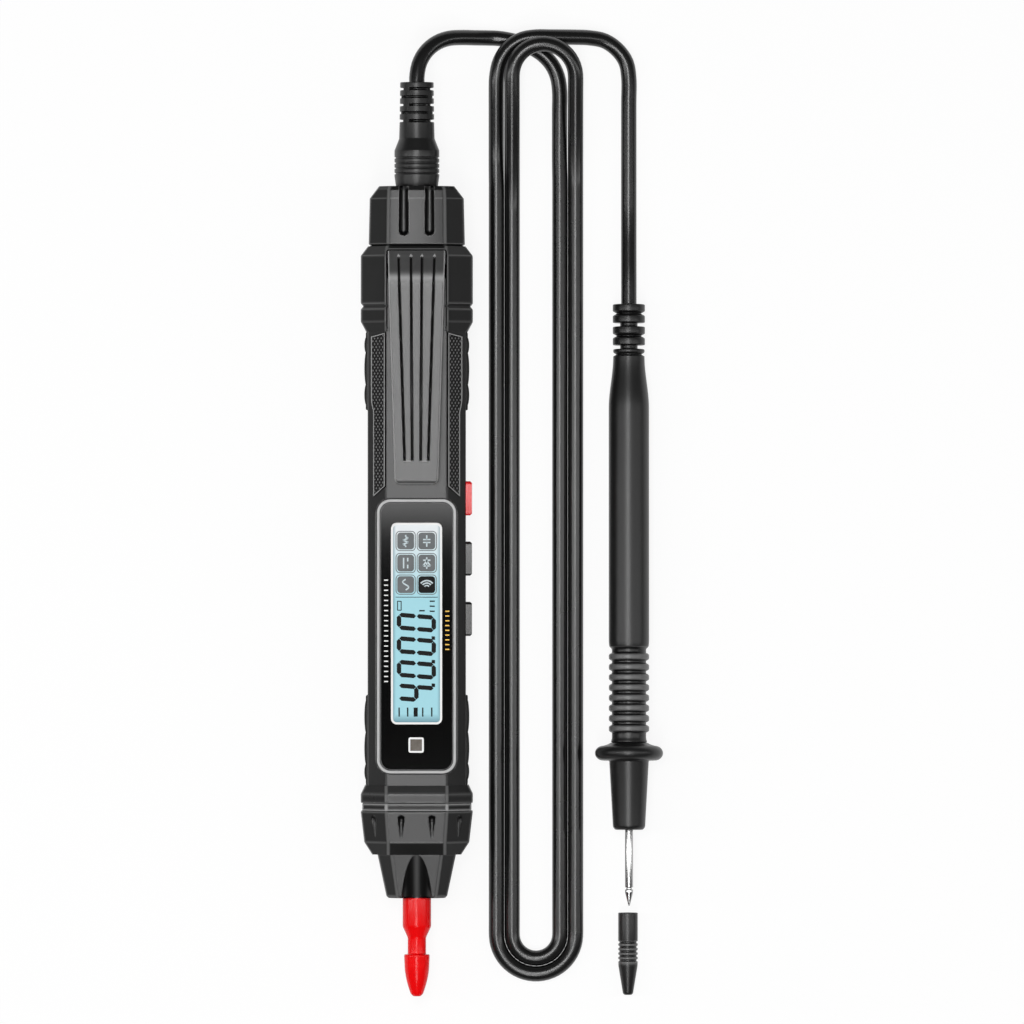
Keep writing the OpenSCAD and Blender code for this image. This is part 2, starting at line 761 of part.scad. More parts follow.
module back_shell() {
  door_end = door_y1 + door_gap;
  color(black_plastic) {
    difference() {
      intersection() {
        section_bar(shell_y0, shell_y1, body_w, body_d, facet_w);
        block(-body_w, body_w, shell_y0 - cut, shell_y1 + cut, back_z - cut, parting_z - hair);
      }
      housing_hollow();
      block(-body_w, body_w, door_y0 - door_gap, door_end, back_z - cut, side_low_z + door_gap);
      both_sides() translate([housing_screw_x, housing_screw_y, back_z - cut]) {
        cylinder(h = cut + screw_head_h, r = screw_head_r + fit);
        cylinder(h = cut + 2 * wall, r = screw_r + fit);
      }
    }
    both_sides() back_post();
    bulkhead(bay_y0 - plate_t - bulkhead_t);
    bulkhead(bay_y1 + plate_t);
    door_post();
  }
}

// Post round a housing screw, from the back wall to the parting plane.
module back_post() {
  post_z = back_z + screw_head_h + wall / 2;
  translate([housing_screw_x, housing_screw_y, 0]) difference() {
    translate([0, 0, post_z]) cylinder(h = parting_z - hair - post_z, r = boss_r);
    translate([0, 0, back_z - cut]) cylinder(h = parting_h + 2 * cut, r = screw_r + fit);
  }
}

// Cross wall at an end of the battery bay; it joins the shell at its side walls.
module bulkhead(y) {
  intersection() {
    section_bar(y, y + bulkhead_t, inner_w - 2 * hair, inner_d - 2 * hair, inner_facet, edge_r / 2);
    block(-body_w, body_w, y - cut, y + bulkhead_t + cut, back_z, parting_z - hair);
  }
  block(-inner_w / 2 - wall / 2, inner_w / 2 + wall / 2, y, y + bulkhead_t,
        side_low_z + 2 * door_gap, parting_z - hair);
}

// Post in front of the bay that takes the door's screw.
module door_post() {
  front = bay_y0 - plate_t - bulkhead_t;
  foot = back_z + wall + hair;
  difference() {
    union() {
      translate([0, door_screw_y, foot]) cylinder(h = parting_z - hair - foot, r = boss_r);
      block(-boss_r / 2, boss_r / 2, door_screw_y, front + bulkhead_t / 2, foot, parting_z - hair);
    }
    translate([0, door_screw_y, back_z]) cylinder(h = door_screw_len + fit, r = pilot_r);
  }
}

module battery_door() {
  color(black_plastic) difference() {
    union() {
      difference() {
        intersection() {
          section_bar(door_y0, door_y1, body_w, body_d, facet_w);
          block(-body_w, body_w, door_y0 - cut, door_y1 + cut, back_z - cut, side_low_z);
        }
        section_bar(door_y0 - cut, door_y1 + cut, inner_w, inner_d, inner_facet, edge_r / 2);
      }
      block(-door_lip_w / 2, door_lip_w / 2, door_y1 - wall, door_y1 + door_lip_len,
            back_z + wall + hair, back_z + wall + hair + door_lip_t);
      block(-door_lip_w / 2, door_lip_w / 2, door_y1 - wall, door_y1 - hair,
            back_z + wall / 2, back_z + wall + 2 * hair);
    }
    translate([0, door_screw_y, back_z - cut]) {
      cylinder(h = cut + wall / 2 + fit, r = screw_head_r + fit);
      cylinder(h = cut + 2 * wall, r = screw_r + fit);
    }
    for (i = [0:door_groove_count - 1]) let (y = door_y1 - door_groove_from_rear - i * door_groove_pitch)
      block(-door_groove_w / 2, door_groove_w / 2, y - door_groove_len, y,
            back_z - cut, back_z + door_groove_depth);
  }
}

module door_screw() {
  color(steel) translate([0, door_screw_y, back_z]) screw(door_screw_len, screw_head_r, wall / 2, screw_r);
}

module housing_screws() {
  color(steel) both_sides() translate([housing_screw_x, housing_screw_y, back_z])
    screw(housing_screw_len, screw_head_r, screw_head_h - fit, screw_r);
}

// Collars, rear cap and nose

clip_root_y = y_cap - clip_root_from_rear;
clip_free_y = bezel_end_y + clip_from_bezel;
clip_axis_z = front_z + collar_proud_d - clip_root_drop;
clip_pocket_y0 = clip_root_y - clip_root_r - clip_side_gap;
clip_pocket_y1 = clip_root_y + clip_root_r + clip_side_gap;
clip_slot_ramp = 4;      // the pocket's floor rises towards the blade over this length
collar_web = 0.9;        // left between the clip's pocket and the collar's bore
collar_bore_d = 2 * (clip_axis_z - clip_root_r - fit - collar_web - axis_z);

module rear_collar() {
  w = collar_w;
  d = collar_d;
  g = groove_depth * 2;
  groove = y_collar + groove_y_from_front;
  color(black_plastic) difference() {
    section_loft([
      [y_collar, body_w + collar_proud_w / 2, body_d + collar_proud_d / 2, facet_w],
      [y_collar + collar_lead_len, w, d, facet_w],
      [groove, w, d, facet_w],
      [groove + groove_slope, w - g, d - g, facet_w],
      [groove + groove_len - groove_slope, w - g, d - g, facet_w],
      [groove + groove_len, w, d, facet_w],
      [y_cap - shoulder_len, w, d, facet_w],
      [y_cap, cap_w + 4 * fit, cap_d + 2 * fit, cap_facet + 4 * fit]]);
    section_bar(y_collar - cut, shell_y1 + fit, body_w + 2 * fit, body_d + 2 * fit, facet_w);
    section_bar(shell_y1, y_cap + cut, collar_bore_w, collar_bore_d, collar_bore_facet);
    clip_pocket();
  }
}

// Pocket for the clip's root, open at the collar's front flat.
module clip_pocket() {
  z0 = clip_axis_z - clip_root_r - fit;
  w = clip_w + 2 * clip_side_gap;
  top = front_z + collar_proud_d + cut;
  translate([-w / 2, 0, 0]) rotate([90, 0, 90]) linear_extrude(w)
    polygon([[clip_pocket_y1, z0], [clip_pocket_y1, top], [clip_pocket_y0 - clip_slot_ramp, top],
             [clip_pocket_y0 - clip_slot_ramp, top - cut - hair], [clip_pocket_y0, z0]]);
}

module rear_cap() {
  round_rows = [for (i = [0:4]) let (a = 90 * i / 4)
    [y_end - cap_round_len + cap_round_len * sin(a), cap_w - cap_taper - 2 * cap_round * (1 - cos(a)),
     cap_d - cap_taper - 2 * cap_round * (1 - cos(a)) * cap_d / cap_w,
     cap_facet - 2 * cap_round * (1 - cos(a)) / 2]];
  color(black_plastic) difference() {
    union() {
      section_loft(concat([[y_cap, cap_w, cap_d, cap_facet]], round_rows));
      section_bar(y_cap - cap_spigot_len, y_cap + cut, collar_bore_w - 2 * fit, collar_bore_d - 2 * fit,
                  collar_bore_facet);
    }
    on_axis() rod_y(y_cap - cap_spigot_len - cut, y_end + cut, mouth_r);
    for (turn = [0, 180]) on_axis() rotate([0, turn, 0]) both_sides() flute();
  }
}

// Long grip groove with a round end, deeper and wider towards the housing.
module flute() {
  y0 = y_cap + flute_from_seam + flute_r;
  translate([flute_x, y0, cap_d / 2 + flute_r - flute_depth]) {
    sphere(r = flute_r);
    rotate([-90, 0, 0]) cylinder(h = cap_len, r1 = flute_r, r2 = flute_r - fit);
  }
}

module front_collar() {
  w = collar_w;
  d = collar_d;
  color(black_plastic) difference() {
    section_loft([
      [y_flange, w, d, facet_w],
      [y_body - flange_len / 2, w, d, facet_w],
      [y_body, body_w + 2 * collar_proud_w * flange_end_share, body_d + collar_proud_d, facet_w]]);
    section_bar(shell_y0 - fit, y_body + cut, body_w + 2 * fit, body_d + 2 * fit, facet_w);
    section_bar(y_flange - cut, shell_y0, inner_w, inner_d, inner_facet, edge_r / 2);
  }
}

module seal_ring() {
  color(soft_black) difference() {
    section_bar(y_seal, y_flange, collar_w - 2 * seal_inset, collar_d - 2 * seal_inset, facet_w);
    section_bar(y_seal - cut, y_flange + cut, inner_w, inner_d, inner_facet, edge_r / 2);
  }
}

module nose_collar() {
  spigot_w = inner_w - 2 * fit;
  spigot_d = inner_d - 2 * fit;
  spigot_f = inner_facet;
  color(black_plastic) difference() {
    union() {
      section_loft([
        [y_nose_collar, collar_end_w, collar_end_d, collar_end_facet],
        [y_nose_collar + collar_end_len, collar_front_w, collar_front_d, collar_end_facet],
        [y_seal - groove_slope, collar_w, collar_d, facet_w],
        [y_seal, collar_w - fit, collar_d - fit, facet_w]]);
      section_bar(y_seal - cut, y_body, spigot_w, spigot_d, spigot_f, edge_r / 2);
    }
    section_bar(y_nose_collar - cut, y_nose_collar + nose_lip_len + cut, nose_w + 2 * fit, nose_d + 2 * fit,
                nose_facet);
    section_bar(y_nose_collar + nose_lip_len, y_seal - web_t, nose_w + 2 * nose_flange_over + 2 * fit,
                nose_d + 2 * nose_flange_over + 2 * fit, nose_facet + nose_flange_over);
    section_bar(y_seal - web_t - cut, y_body + cut, spigot_w - 2 * spigot_wall, spigot_d - 2 * spigot_wall,
                spigot_f - spigot_wall, edge_r / 2);
    for (turn = [0, 180]) on_axis() rotate([0, turn, 0]) both_sides() drop(drop_x_front, collar_d / 2, 0);
    for (turn = [0, 180]) on_axis() rotate([0, turn, 0]) both_sides()
      drop((facet_w + collar_w) / 4, collar_d / 2 - (collar_w - facet_w) / 4, 45);
  }
}

// Teardrop groove: round and deep at the seal, running out to a point at the nose.
module drop(x, z, lean) {
  translate([x, y_seal - groove_slope - drop_r * 2, z]) rotate([0, lean, 0]) rotate([drop_tilt, 0, 0]) {
    sphere(r = drop_r);
    rotate([90, 0, 0]) cylinder(h = drop_len, r1 = drop_r, r2 = drop_r / 5);
  }
}

module nose_cone() {
  back = y_nose_collar + nose_lip_len;
  color(black_plastic) difference() {
    union() {
      section_loft([
        [y_nose, nose_end_w - 2 * nose_edge, nose_end_d - 2 * nose_edge, nose_end_facet - nose_edge],
        [y_nose + nose_edge, nose_end_w, nose_end_d, nose_end_facet],
        [y_nose_collar, nose_w, nose_d, nose_facet],
        [back + hair, nose_w, nose_d, nose_facet]]);
      section_bar(back + hair, back + nose_flange_len, nose_w + 2 * nose_flange_over,
                  nose_d + 2 * nose_flange_over, nose_facet + nose_flange_over);
    }
    on_axis() rod_y(y_nose - cut, back + nose_flange_len + cut, needle_r + hair);
    on_axis() rod_y(y_nose - cut, y_nose + cap_seat_depth + hair, tip_cap_r + fit);
    for (turn = [0, 180]) on_axis() rotate([0, turn, 0]) scoop();
  }
}

// Hollow scooped out of the nose, widest at its front edge.
module scoop() {
  translate([0, y_nose - cut, nose_end_d / 2 + scoop_r / 3]) rotate([scoop_tilt, 0, 0])
    rotate([-90, 0, 0]) cylinder(h = scoop_len, r = scoop_r);
}

// Grips and pads

// Outline of a side grip: lobes between lead-ins, with a notch at each share of its length.
function grip_outline(length, notch_shares) =
  let (root = grip_t - grip_wave, first = 2 * grip_lead, last = length - 2 * grip_lead,
       ends = concat([first], [for (share = notch_shares) share * length], [last]))
  concat([[0, 0], [root, grip_lead]],
         [for (k = [1:len(ends) - 1]) for (i = [0:lobe_steps - 1]) let (t = i / lobe_steps)
           [root + grip_wave * sin(180 * t), ends[k - 1] + (ends[k] - ends[k - 1]) * t]],
         [[root, last], [root, length - grip_lead], [0, length]]);

module side_grip(y, length, notch_shares) {
  low = (side_low_z + side_high_z) / 2 - grip_h / 2;
  translate([body_w / 2 + hair / 2, y, low]) linear_extrude(grip_h)
    polygon(grip_outline(length, notch_shares));
}

module side_grips() {
  color(soft_black) both_sides() {
    side_grip(y_collar - rear_grip_len - hair, rear_grip_len, rear_notch_shares);
    side_grip(y_body + hair, front_grip_len, front_notch_shares);
  }
}

module facet_pads() {
  color(soft_black) both_sides() facet_place() translate([0, 0, hair - pad_t])
    linear_extrude(pad_t) pad_outline(0);
}

// Display

module display_bezel() {
  color(black_plastic) difference() {
    plate(bezel_w, bezel_len, bezel_r, bezel_y, seat_z + hair, seat_z + bezel_h);
    plate(bezel_w - 2 * bezel_rim, bezel_len - 2 * bezel_rim, bezel_r - bezel_rim, bezel_y,
          seat_z - cut, seat_z + bezel_h + cut);
  }
}

module display_panel() {
  color(soft_black) difference() {
    plate(panel_w, panel_len, panel_r, bezel_y, seat_z + hair, seat_z + panel_t);
    plate(screen_w, screen_len, screen_r, screen_y, seat_z - cut, seat_z + panel_t + cut);
    plate(sensor_side, sensor_side, fit * 3, sensor_y, seat_z - cut, seat_z + panel_t + cut);
  }
}

module lcd_glass() {
  color([0.7, 0.88, 0.93])
    plate(screen_w - 2 * fit, screen_len - 2 * fit, screen_r - fit, screen_y, lcd_z0, lcd_z1);
}

module lcd_holder() {
  color([0.9, 0.9, 0.88])
    plate(holder_w, screen_len + 2 * holder_end, screen_r, screen_y, holder_z0, holder_z1);
}

// Lens of the light sensor, with a light pipe down to the board.
module sensor_lens() {
  color([0.4, 0.35, 0.28]) {
    plate(sensor_side - 2 * fit, sensor_side - 2 * fit, fit * 2, sensor_y,
          seat_z + hair, seat_z + panel_t - lcd_sink);
    translate([0, sensor_y, board_z1 + hair])
      cylinder(h = seat_z + panel_t / 2 - board_z1 - hair, r = sensor_stem_r);
  }
}

// Electronics

module main_board() {
  color(board_green) difference() {
    union() {
      block(-board_w / 2, board_w / 2, board_y0, board_y1, board_z0, board_z1);
      for (y = [(power_y + hold_y) / 2, (hold_y + select_y) / 2, board_place(chip_share)])
        block(-chip_side / 2, chip_side / 2, y - chip_side / 2, y + chip_side / 2,
              board_z0 - chip_h, board_z0 + hair);
    }
    both_sides() for (y = [board_y0 + board_screw_inset, board_y1 - board_screw_inset])
      translate([board_screw_x, y, board_z0 - cut]) cylinder(h = board_t + 2 * cut, r = board_screw_r + fit);
  }
}

module board_screws() {
  color(steel) both_sides() for (y = [board_y0 + board_screw_inset, board_y1 - board_screw_inset])
    translate([board_screw_x, y, board_z0 - board_head_h]) {
      cylinder(h = board_head_h, r = board_head_r);
      cylinder(h = board_head_h + board_t + board_screw_len - fit, r = board_screw_r - hair);
    }
}

module push_switches() {
  color([0.2, 0.2, 0.2]) for (y = [power_y, hold_y, select_y]) {
    x1 = plunger_x - plunger_len;
    block(x1 - switch_depth, x1, y - switch_len / 2, y + switch_len / 2,
          board_z0 - switch_h, board_z0 - hair);
    translate([x1 - cut, y, button_z]) rotate([0, 90, 0]) cylinder(h = plunger_len + cut, r = plunger_r);
  }
}

buzzer_r = 4.4;
buzzer_h = 2;
buzzer_share = 0.33;     // places along the board, from its front end to the select switch
chip_share = 0.7;
fuse_share = 0.77;
function board_place(share) = board_y0 + share * (select_y - board_y0);
fuse_r = 1.6;
fuse_len = 12;
fuse_from_side = 2.2;
fuse_x = fuse_from_side + fuse_r - board_w / 2;
fuse_y = board_place(fuse_share) - fuse_len / 2;

module buzzer() {
  color(soft_black) translate([0, board_place(buzzer_share), board_z0 - hair - buzzer_h])
    cylinder(h = buzzer_h, r = buzzer_r);
}

module input_fuse() {
  color([0.85, 0.82, 0.7]) translate([fuse_x, 0, board_z0 - hair - fuse_r])
    rod_y(fuse_y, fuse_y + fuse_len, fuse_r);
}

sense_w = 6;
sense_t = 0.35;
sense_len = 20;
sense_on_board = 3.2;

// Copper plate in the nose that senses live wires, held under the board's front end.
module sense_plate() {
  y1 = board_y0 + sense_on_board;
  z1 = board_z0 - hair;
  color(brass) block(-sense_w / 2, sense_w / 2, y1 - sense_len, y1, z1 - sense_t, z1);
}

needle_y0 = y_tip + needle_tip_gap;
needle_y1 = y_body - needle_back;
nose_back_y = y_nose_collar + nose_lip_len + nose_flange_len;

module needle() {
  color(steel) on_axis() union() {
    turned([[needle_y0, needle_r / 5], [needle_y0 + needle_point_len, needle_r], [needle_y1, needle_r]]);
    rod_y(nose_back_y + hair, nose_back_y + hair + needle_shoulder_len, needle_shoulder_r);
  }
}

strap_w = 2.6;
strap_t = 0.4;

// Strap that joins the needle's rear end to the board.
module needle_strap() {
  top = board_z0 - 2 * hair - sense_t;
  color(brass) translate([-strap_w / 2, 0, 0]) rotate([90, 0, 90]) linear_extrude(strap_w)
    polygon([[needle_y1 + hair, axis_z - needle_r], [needle_y1 + hair + strap_t, axis_z - needle_r],
             [needle_y1 + hair + strap_t, axis_z + needle_r],
             [board_y0 + strap_w / 2, top - strap_t], [board_y0 + strap_w, top - strap_t],
             [board_y0 + strap_w, top], [board_y0, top],
             [needle_y1 + hair, axis_z + needle_r + strap_t]]);
}

module jack_housing() {
  y1 = plug_y;
  color(soft_black) on_axis() difference() {
    rod_y(y1 - jack_len, y1 - hair, mouth_r - jack_wall);
    rod_y(y1 - jack_len - cut, y1 + cut, sleeve_r + jack_wall / 2);
  }
}

module jack_sleeve() {
  y1 = plug_y - hair;
  y0 = y1 - jack_len + jack_wall;
  color(brass) on_axis() {
    difference() {
      rod_y(y0, y1, sleeve_r);
      rod_y(y1 - sleeve_len, y1 + cut, pin_r + sleeve_fit);
    }
    rod_y(y0 - tail_len, y0 + hair, tail_r);
  }
}

module jack_wire() {
  y1 = plug_y - jack_len - tail_len;
  top = wire_notch_z + wire_notch_w / 2;
  low = board_z1 + wire_r + hair;
  path = [[0, y1 - hair, axis_z], [0, y1 - wire_rise_len / 5, axis_z + wire_r],
          [0, y1 - wire_rise_len / 2, (axis_z + top) / 2], [0, y1 - 4 * wire_rise_len / 5, top - wire_r],
          [0, y1 - wire_rise_len, top], [0, (y1 + board_y1) / 2, top], [0, board_y1 + wire_fall_len, top],
          [0, board_y1 + wire_fall_len / 4, low + wire_r / 2], [0, board_y1 - wire_fall_len / 2, low],
          [0, board_y1 - wire_fall_len, low]];
  color(red_plastic) tube(path, wire_r, lead_sides, [0, -1, 0], [0, -1, 0]);
}

// Battery

module cell() {
  turned([[0, cell_r], [cell_len - nub_len, cell_r], [cell_len - nub_len, nub_r], [cell_len, nub_r]]);
}

module battery_cells() {
  color([0.25, 0.3, 0.5]) {
    translate([-cell_x, bay_y1 - hair - cell_len, cell_z]) cell();
    translate([cell_x, bay_y0 + hair + cell_len, cell_z]) rotate([0, 0, 180]) cell();
  }
}

module contact_plates() {
  color(steel) {
    both_sides() block(cell_x - plate_w / 2, cell_x + plate_w / 2, bay_y0 - plate_t, bay_y0,
                       cell_z - plate_h / 2, parting_z - 2 * hair);
    block(-cell_x - plate_w / 2, cell_x + plate_w / 2, bay_y1, bay_y1 + plate_t - hair,
          cell_z - plate_h / 2, parting_z - 2 * hair);
  }
}

// Cone spring along +Y from its narrow end at the cell to its wide end at the plate.
function spring_path(length) =
  let (steps = spring_turns * 8)
  [for (i = [0:steps]) let (t = i / steps, a = 360 * spring_turns * t,
                            r = spring_small_r + (spring_big_r - spring_small_r) * t)
    [r * cos(a), spring_wire_r + (length - 2 * spring_wire_r) * t, r * sin(a)]];

module spring(length) {
  path = spring_path(length);
  n = len(path) - 1;
  tube(path, spring_wire_r, hank_sides, tangent(path, 0), tangent(path, n), [0, 1, 0]);
}

module contact_springs() {
  gap = 3 * hair;
  length = spring_room - 2 * gap;
  color(steel) {
    translate([cell_x, bay_y0 + cell_len + hair + gap, cell_z]) spring(length);
    translate([-cell_x, bay_y1 - cell_len - hair - gap, cell_z]) rotate([0, 0, 180]) spring(length);
  }
}

// Clip

clip_bend_y = clip_root_y - clip_ramp_len;
clip_top_z = front_z + clip_rise;
clip_end_z = clip_top_z - clip_fall;

// Side view of the clip: round root, ramp, blade and a foot that rests on the housing.
module clip_profile() {
  foot_z = front_z + clip_foot_gap;
  rotate([90, 0, 90]) linear_extrude(clip_w, center = true) difference() {
    union() {
      translate([clip_root_y, clip_axis_z]) circle(r = clip_root_r);
      polygon([
        [clip_root_y - clip_root_r * cos(45), clip_axis_z - clip_root_r * sin(45)],
        [clip_root_y + clip_root_r, clip_axis_z],
        [clip_root_y + clip_root_r, clip_axis_z + clip_root_drop + clip_edge / 2],
        [clip_root_y + clip_root_r - clip_edge, clip_axis_z + clip_root_drop + 3 * clip_edge / 2],
        [clip_bend_y, clip_top_z], [clip_bend_y - clip_t, clip_top_z],
        each [for (i = [0:clip_end_steps]) let (a = 90 * i / clip_end_steps)
          [clip_free_y + clip_end_round - clip_end_round * sin(a),
           clip_end_z - clip_end_drop + clip_end_drop * cos(a)]],
        [clip_free_y, foot_z + clip_t / 2], [clip_free_y + clip_t / 3, foot_z],
        [clip_free_y + clip_foot_len / 2, foot_z],
        [clip_free_y + clip_foot_len, clip_end_z - clip_t],
        [clip_bend_y - clip_t, clip_top_z - clip_t], [clip_bend_y, clip_top_z - clip_t - fit]]);
    }
  }
}

// Plan of the clip: it narrows to a rounded free end.
module clip_plan() {
  h = clip_top_z - clip_axis_z + 2 * clip_root_r + cut;
  bend_w = clip_w - clip_side_gap;
  left = [-bend_w / 2, clip_bend_y];
  right = [bend_w / 2, clip_bend_y];
  translate([0, 0, clip_axis_z - clip_root_r - cut / 2]) linear_extrude(h) polygon(concat(
    [[clip_w / 2, clip_root_y + clip_root_r + cut], [-clip_w / 2, clip_root_y + clip_root_r + cut],
     left],
    corner(left, [-clip_end_w / 2, clip_free_y], [clip_end_w / 2, clip_free_y], clip_corner),
    corner([-clip_end_w / 2, clip_free_y], [clip_end_w / 2, clip_free_y], right, clip_corner), [right]));
}

// Shallow panel between two grooves, following the blade; side is +1 or -1.
module clip_channel() {
  y0 = clip_free_y + clip_groove_from_end;
  y1 = clip_bend_y;
  y2 = clip_root_y - clip_groove_from_root;
  // Side view of a cut that follows the blade's face at a given depth.
  for (k = [[clip_panel_depth, 0], [clip_groove_depth, 1]]) {
    depth = k[0];
    intersection() {
      rotate([90, 0, 90]) linear_extrude(clip_w, center = true)
        polygon([[y0, blade_z(y0) - depth], [y1 - clip_t / 2, blade_z(y1 - clip_t / 2) - depth],
                 [y2, ramp_z(y2) - depth], [y2, clip_top_z + cut], [y0, clip_top_z + cut]]);
      translate([0, 0, clip_axis_z]) linear_extrude(clip_rise + clip_root_drop + 2 * cut)
        if (k[1] == 0)
          channel_plan(y0, y2, clip_groove_in, clip_groove_out, clip_groove_in_root, clip_groove_out_root);
        else {
          channel_plan(y0, y2, clip_groove_in, clip_groove_in + clip_groove_w,
                       clip_groove_in_root, clip_groove_in_root + clip_groove_w);
          channel_plan(y0, y2, clip_groove_out - clip_groove_w, clip_groove_out,
                       clip_groove_out_root - clip_groove_w, clip_groove_out_root);
        }
    }
  }
}

module channel_plan(y0, y1, in0, out0, in1, out1) {
  polygon([[in0, y0], [out0, y0], [out1, y1], [in1, y1]]);
}

// Height of the blade's face, and of the ramp's face, at a place along the pen.
function blade_z(y) =
  clip_end_z + (clip_top_z - clip_end_z) * (y - clip_free_y) / (clip_bend_y - clip_free_y);
function ramp_z(y) =
  let (y1 = clip_root_y + clip_root_r, z1 = clip_axis_z + clip_root_drop + clip_edge)
  z1 + (clip_top_z - z1) * (y1 - y) / (y1 - clip_bend_y);

module pocket_clip() {
  color(grey_metal) difference() {
    intersection() {
      clip_profile();
      clip_plan();
    }
    both_sides() clip_channel();
  }
}

// Buttons

module side_button(y) {
  x1 = body_w / 2 + button_proud;
  intersection() {
    translate([stem_x, y, button_z]) rotate([90, 0, 90]) linear_extrude(x1 - stem_x)
      polygon(box_outline(button_len, button_h, button_round));
    union() {
      translate([0, y, button_z - button_h]) linear_extrude(2 * button_h) polygon([
        [flange_x - button_flange_t, -button_len / 2], [x1 - button_edge, -button_len / 2],
        [x1, button_edge - button_len / 2], [x1, button_len / 2 - button_edge],
        [x1 - button_edge, button_len / 2], [flange_x - button_flange_t, button_len / 2]]);
      translate([stem_x, y, button_z]) rotate([0, 90, 0]) cylinder(h = button_stem + cut, r = button_h / 4);
    }
  }
  flange_half = button_len / 2 + button_flange_over;
  block(flange_x - button_flange_t, flange_x, y - flange_half, y + flange_half,
        button_z - button_flange_h / 2, button_z + button_flange_h / 2);
}

module power_button() {
  color(red_plastic) side_button(power_y);
}

module hold_button() {
  color(soft_black) side_button(hold_y);
}

module select_button() {
  color(soft_black) side_button(select_y);
}

// Needle cap

module needle_cap() {
  y1 = y_nose;
  y2 = y1 - tip_barrel_len;
  y3 = y2 - tip_cone_len;
  y4 = y3 - tip_neck_len;
  y5 = y4 - tip_step;
  y6 = y5 - tip_barb_len;
  barb = tip_barb_r - fit;
  ogive = [for (i = [ogive_steps:-1:1]) let (t = i / ogive_steps)
    [y6 + (y_tip + tip_end_len - y6) * t, barb + (tip_end_r - barb) * pow(t, ogive_power)]];
  color(red_plastic) on_axis() difference() {
    turned(concat([[y_tip, tip_end_r * tip_end_flat]], ogive, [
      [y6, tip_barb_r - fit], [y5, tip_barb_r], [y4, tip_barb_r - fit], [y4, tip_neck_r], [y3, tip_neck_r],
      [y2, tip_cap_r], [y1 + cap_seat_depth, tip_cap_r]]));
    rod_y(needle_y0 + needle_point_len - hair, y1 + cap_seat_depth + cut, needle_r + hair);
    translate([0, needle_y0 - hair, 0]) rotate([-90, 0, 0])
      cylinder(h = needle_point_len, r1 = needle_r / 5 + hair, r2 = needle_r + hair);
  }
}

// Plug

module plug_boot() {
  y1 = plug_y + boot_nose_len + (boot_r - boot_nose_r);
  y2 = plug_y + boot_nose_len + boot_grip_len;
  y3 = y2 + boot_cone_len;
  y4 = y3 + boot_neck_len;
  color(soft_black) on_axis() difference() {
    turned([[plug_y, boot_nose_r - fit], [plug_y + fit, boot_nose_r], [plug_y + boot_nose_len, boot_r],
            [y2, boot_r], [y3, boot_neck_r], [y4, boot_neck_r - fit], [exit_y - fit, relief_r],
            [exit_y, relief_r - fit]]);
    for (i = [0:boot_grip_grooves - 1])
      ring_cut(y1 + i * boot_grip_pitch, boot_grip_gap, boot_r - boot_grip_depth, boot_r + cut);
    for (i = [0:relief_slots - 1]) relief_cut(exit_y - relief_pitch * (i + 1), relief_turns[i % 2]);
    rod_y(plug_y - cut, plug_y + boot_nose_len, pin_r + boot_clear / 2);
  }
}

module ring_cut(y, gap, r0, r1) {
  translate([0, y, 0]) rotate([-90, 0, 0]) difference() {
    cylinder(h = gap, r = r1);
    translate([0, 0, -cut]) cylinder(h = gap + 2 * cut, r = r0);
  }
}

// One slot of the strain relief: all round but for two bridges, turned by an angle.
module relief_cut(y, turn) {
  difference() {
    ring_cut(y, relief_slot, relief_core_r, relief_r + cut);
    rotate([0, turn, 0]) block(-relief_bridge / 2, relief_bridge / 2, y - cut, y + relief_slot + cut,
                               -relief_r - 2 * cut, relief_r + 2 * cut);
  }
}

module plug_pin() {
  y1 = plug_y + boot_nose_len - hair;
  color(steel) on_axis()
    turned([[plug_y - pin_len, pin_r / 2], [plug_y - pin_len + pin_r / 2, pin_r], [y1, pin_r]]);
}

// Lead

// Radius of the loop at crown angle a, from one loop to the next; a falls from 180 to 0.
function crown_r(k, a) = loop_r + loop_pitch * (k + smooth((180 - a) / 180));
// Height of a loop at a distance from the crown's middle.
function hump(d, h) = lead_r + (d < hump_len ? h * (1 + cos(180 * d / hump_len)) / 2 : 0);

quarter_turn = loop_r * PI / 2;

// Centreline of the hank: down the right side, round the bottom, up the left side and over the crown.
hank_path = [for (k = [0:loops - 1]) each concat(
  let (r = loop_r + loop_pitch * k, y1 = k == 0 ? hank_open_y : hank_top_y,
       c = k == 0 ? 0 : quarter_turn)
    [for (i = [(k == 0 ? 0 : 1):run_steps])
      let (y = y1 + (hank_bottom_y - y1) * pow(i / run_steps, run_power))
      [hank_x + r, y, k == 0 ? lead_r : hump(c + hank_top_y - y, 2 * layer)]],
  let (r = loop_r + loop_pitch * k)
    [for (i = [1:turn_steps]) let (a = -180 * i / turn_steps)
      [hank_x + r * cos(a), hank_bottom_y + r * sin(a), lead_r]],
  let (r = loop_r + loop_pitch * k, y1 = k == loops - 1 ? hank_open_y : hank_top_y, c = quarter_turn)
    [for (i = [1:run_steps]) let (y = y1 + (hank_bottom_y - y1) * pow(1 - i / run_steps, run_power))
      [hank_x - r, y, k == loops - 1 ? lead_r : hump(c + hank_top_y - y, 2 * layer)]],
  k == loops - 1 ? [] : [for (i = [1:turn_steps]) let (a = 180 - 180 * i / turn_steps, r = crown_r(k, a))
    [hank_x + r * cos(a), hank_top_y + r * sin(a), hump(abs(90 - a) * r * PI / 180, 2 * layer)]])];

lead_exit_path = [for (p = lead_exit_points) p + [0, p[1] == lead_pen_y ? exit_y - lead_pen_y : 0, 0]];
lead_whole = concat(lead_exit_path, hank_path, lead_probe_points);

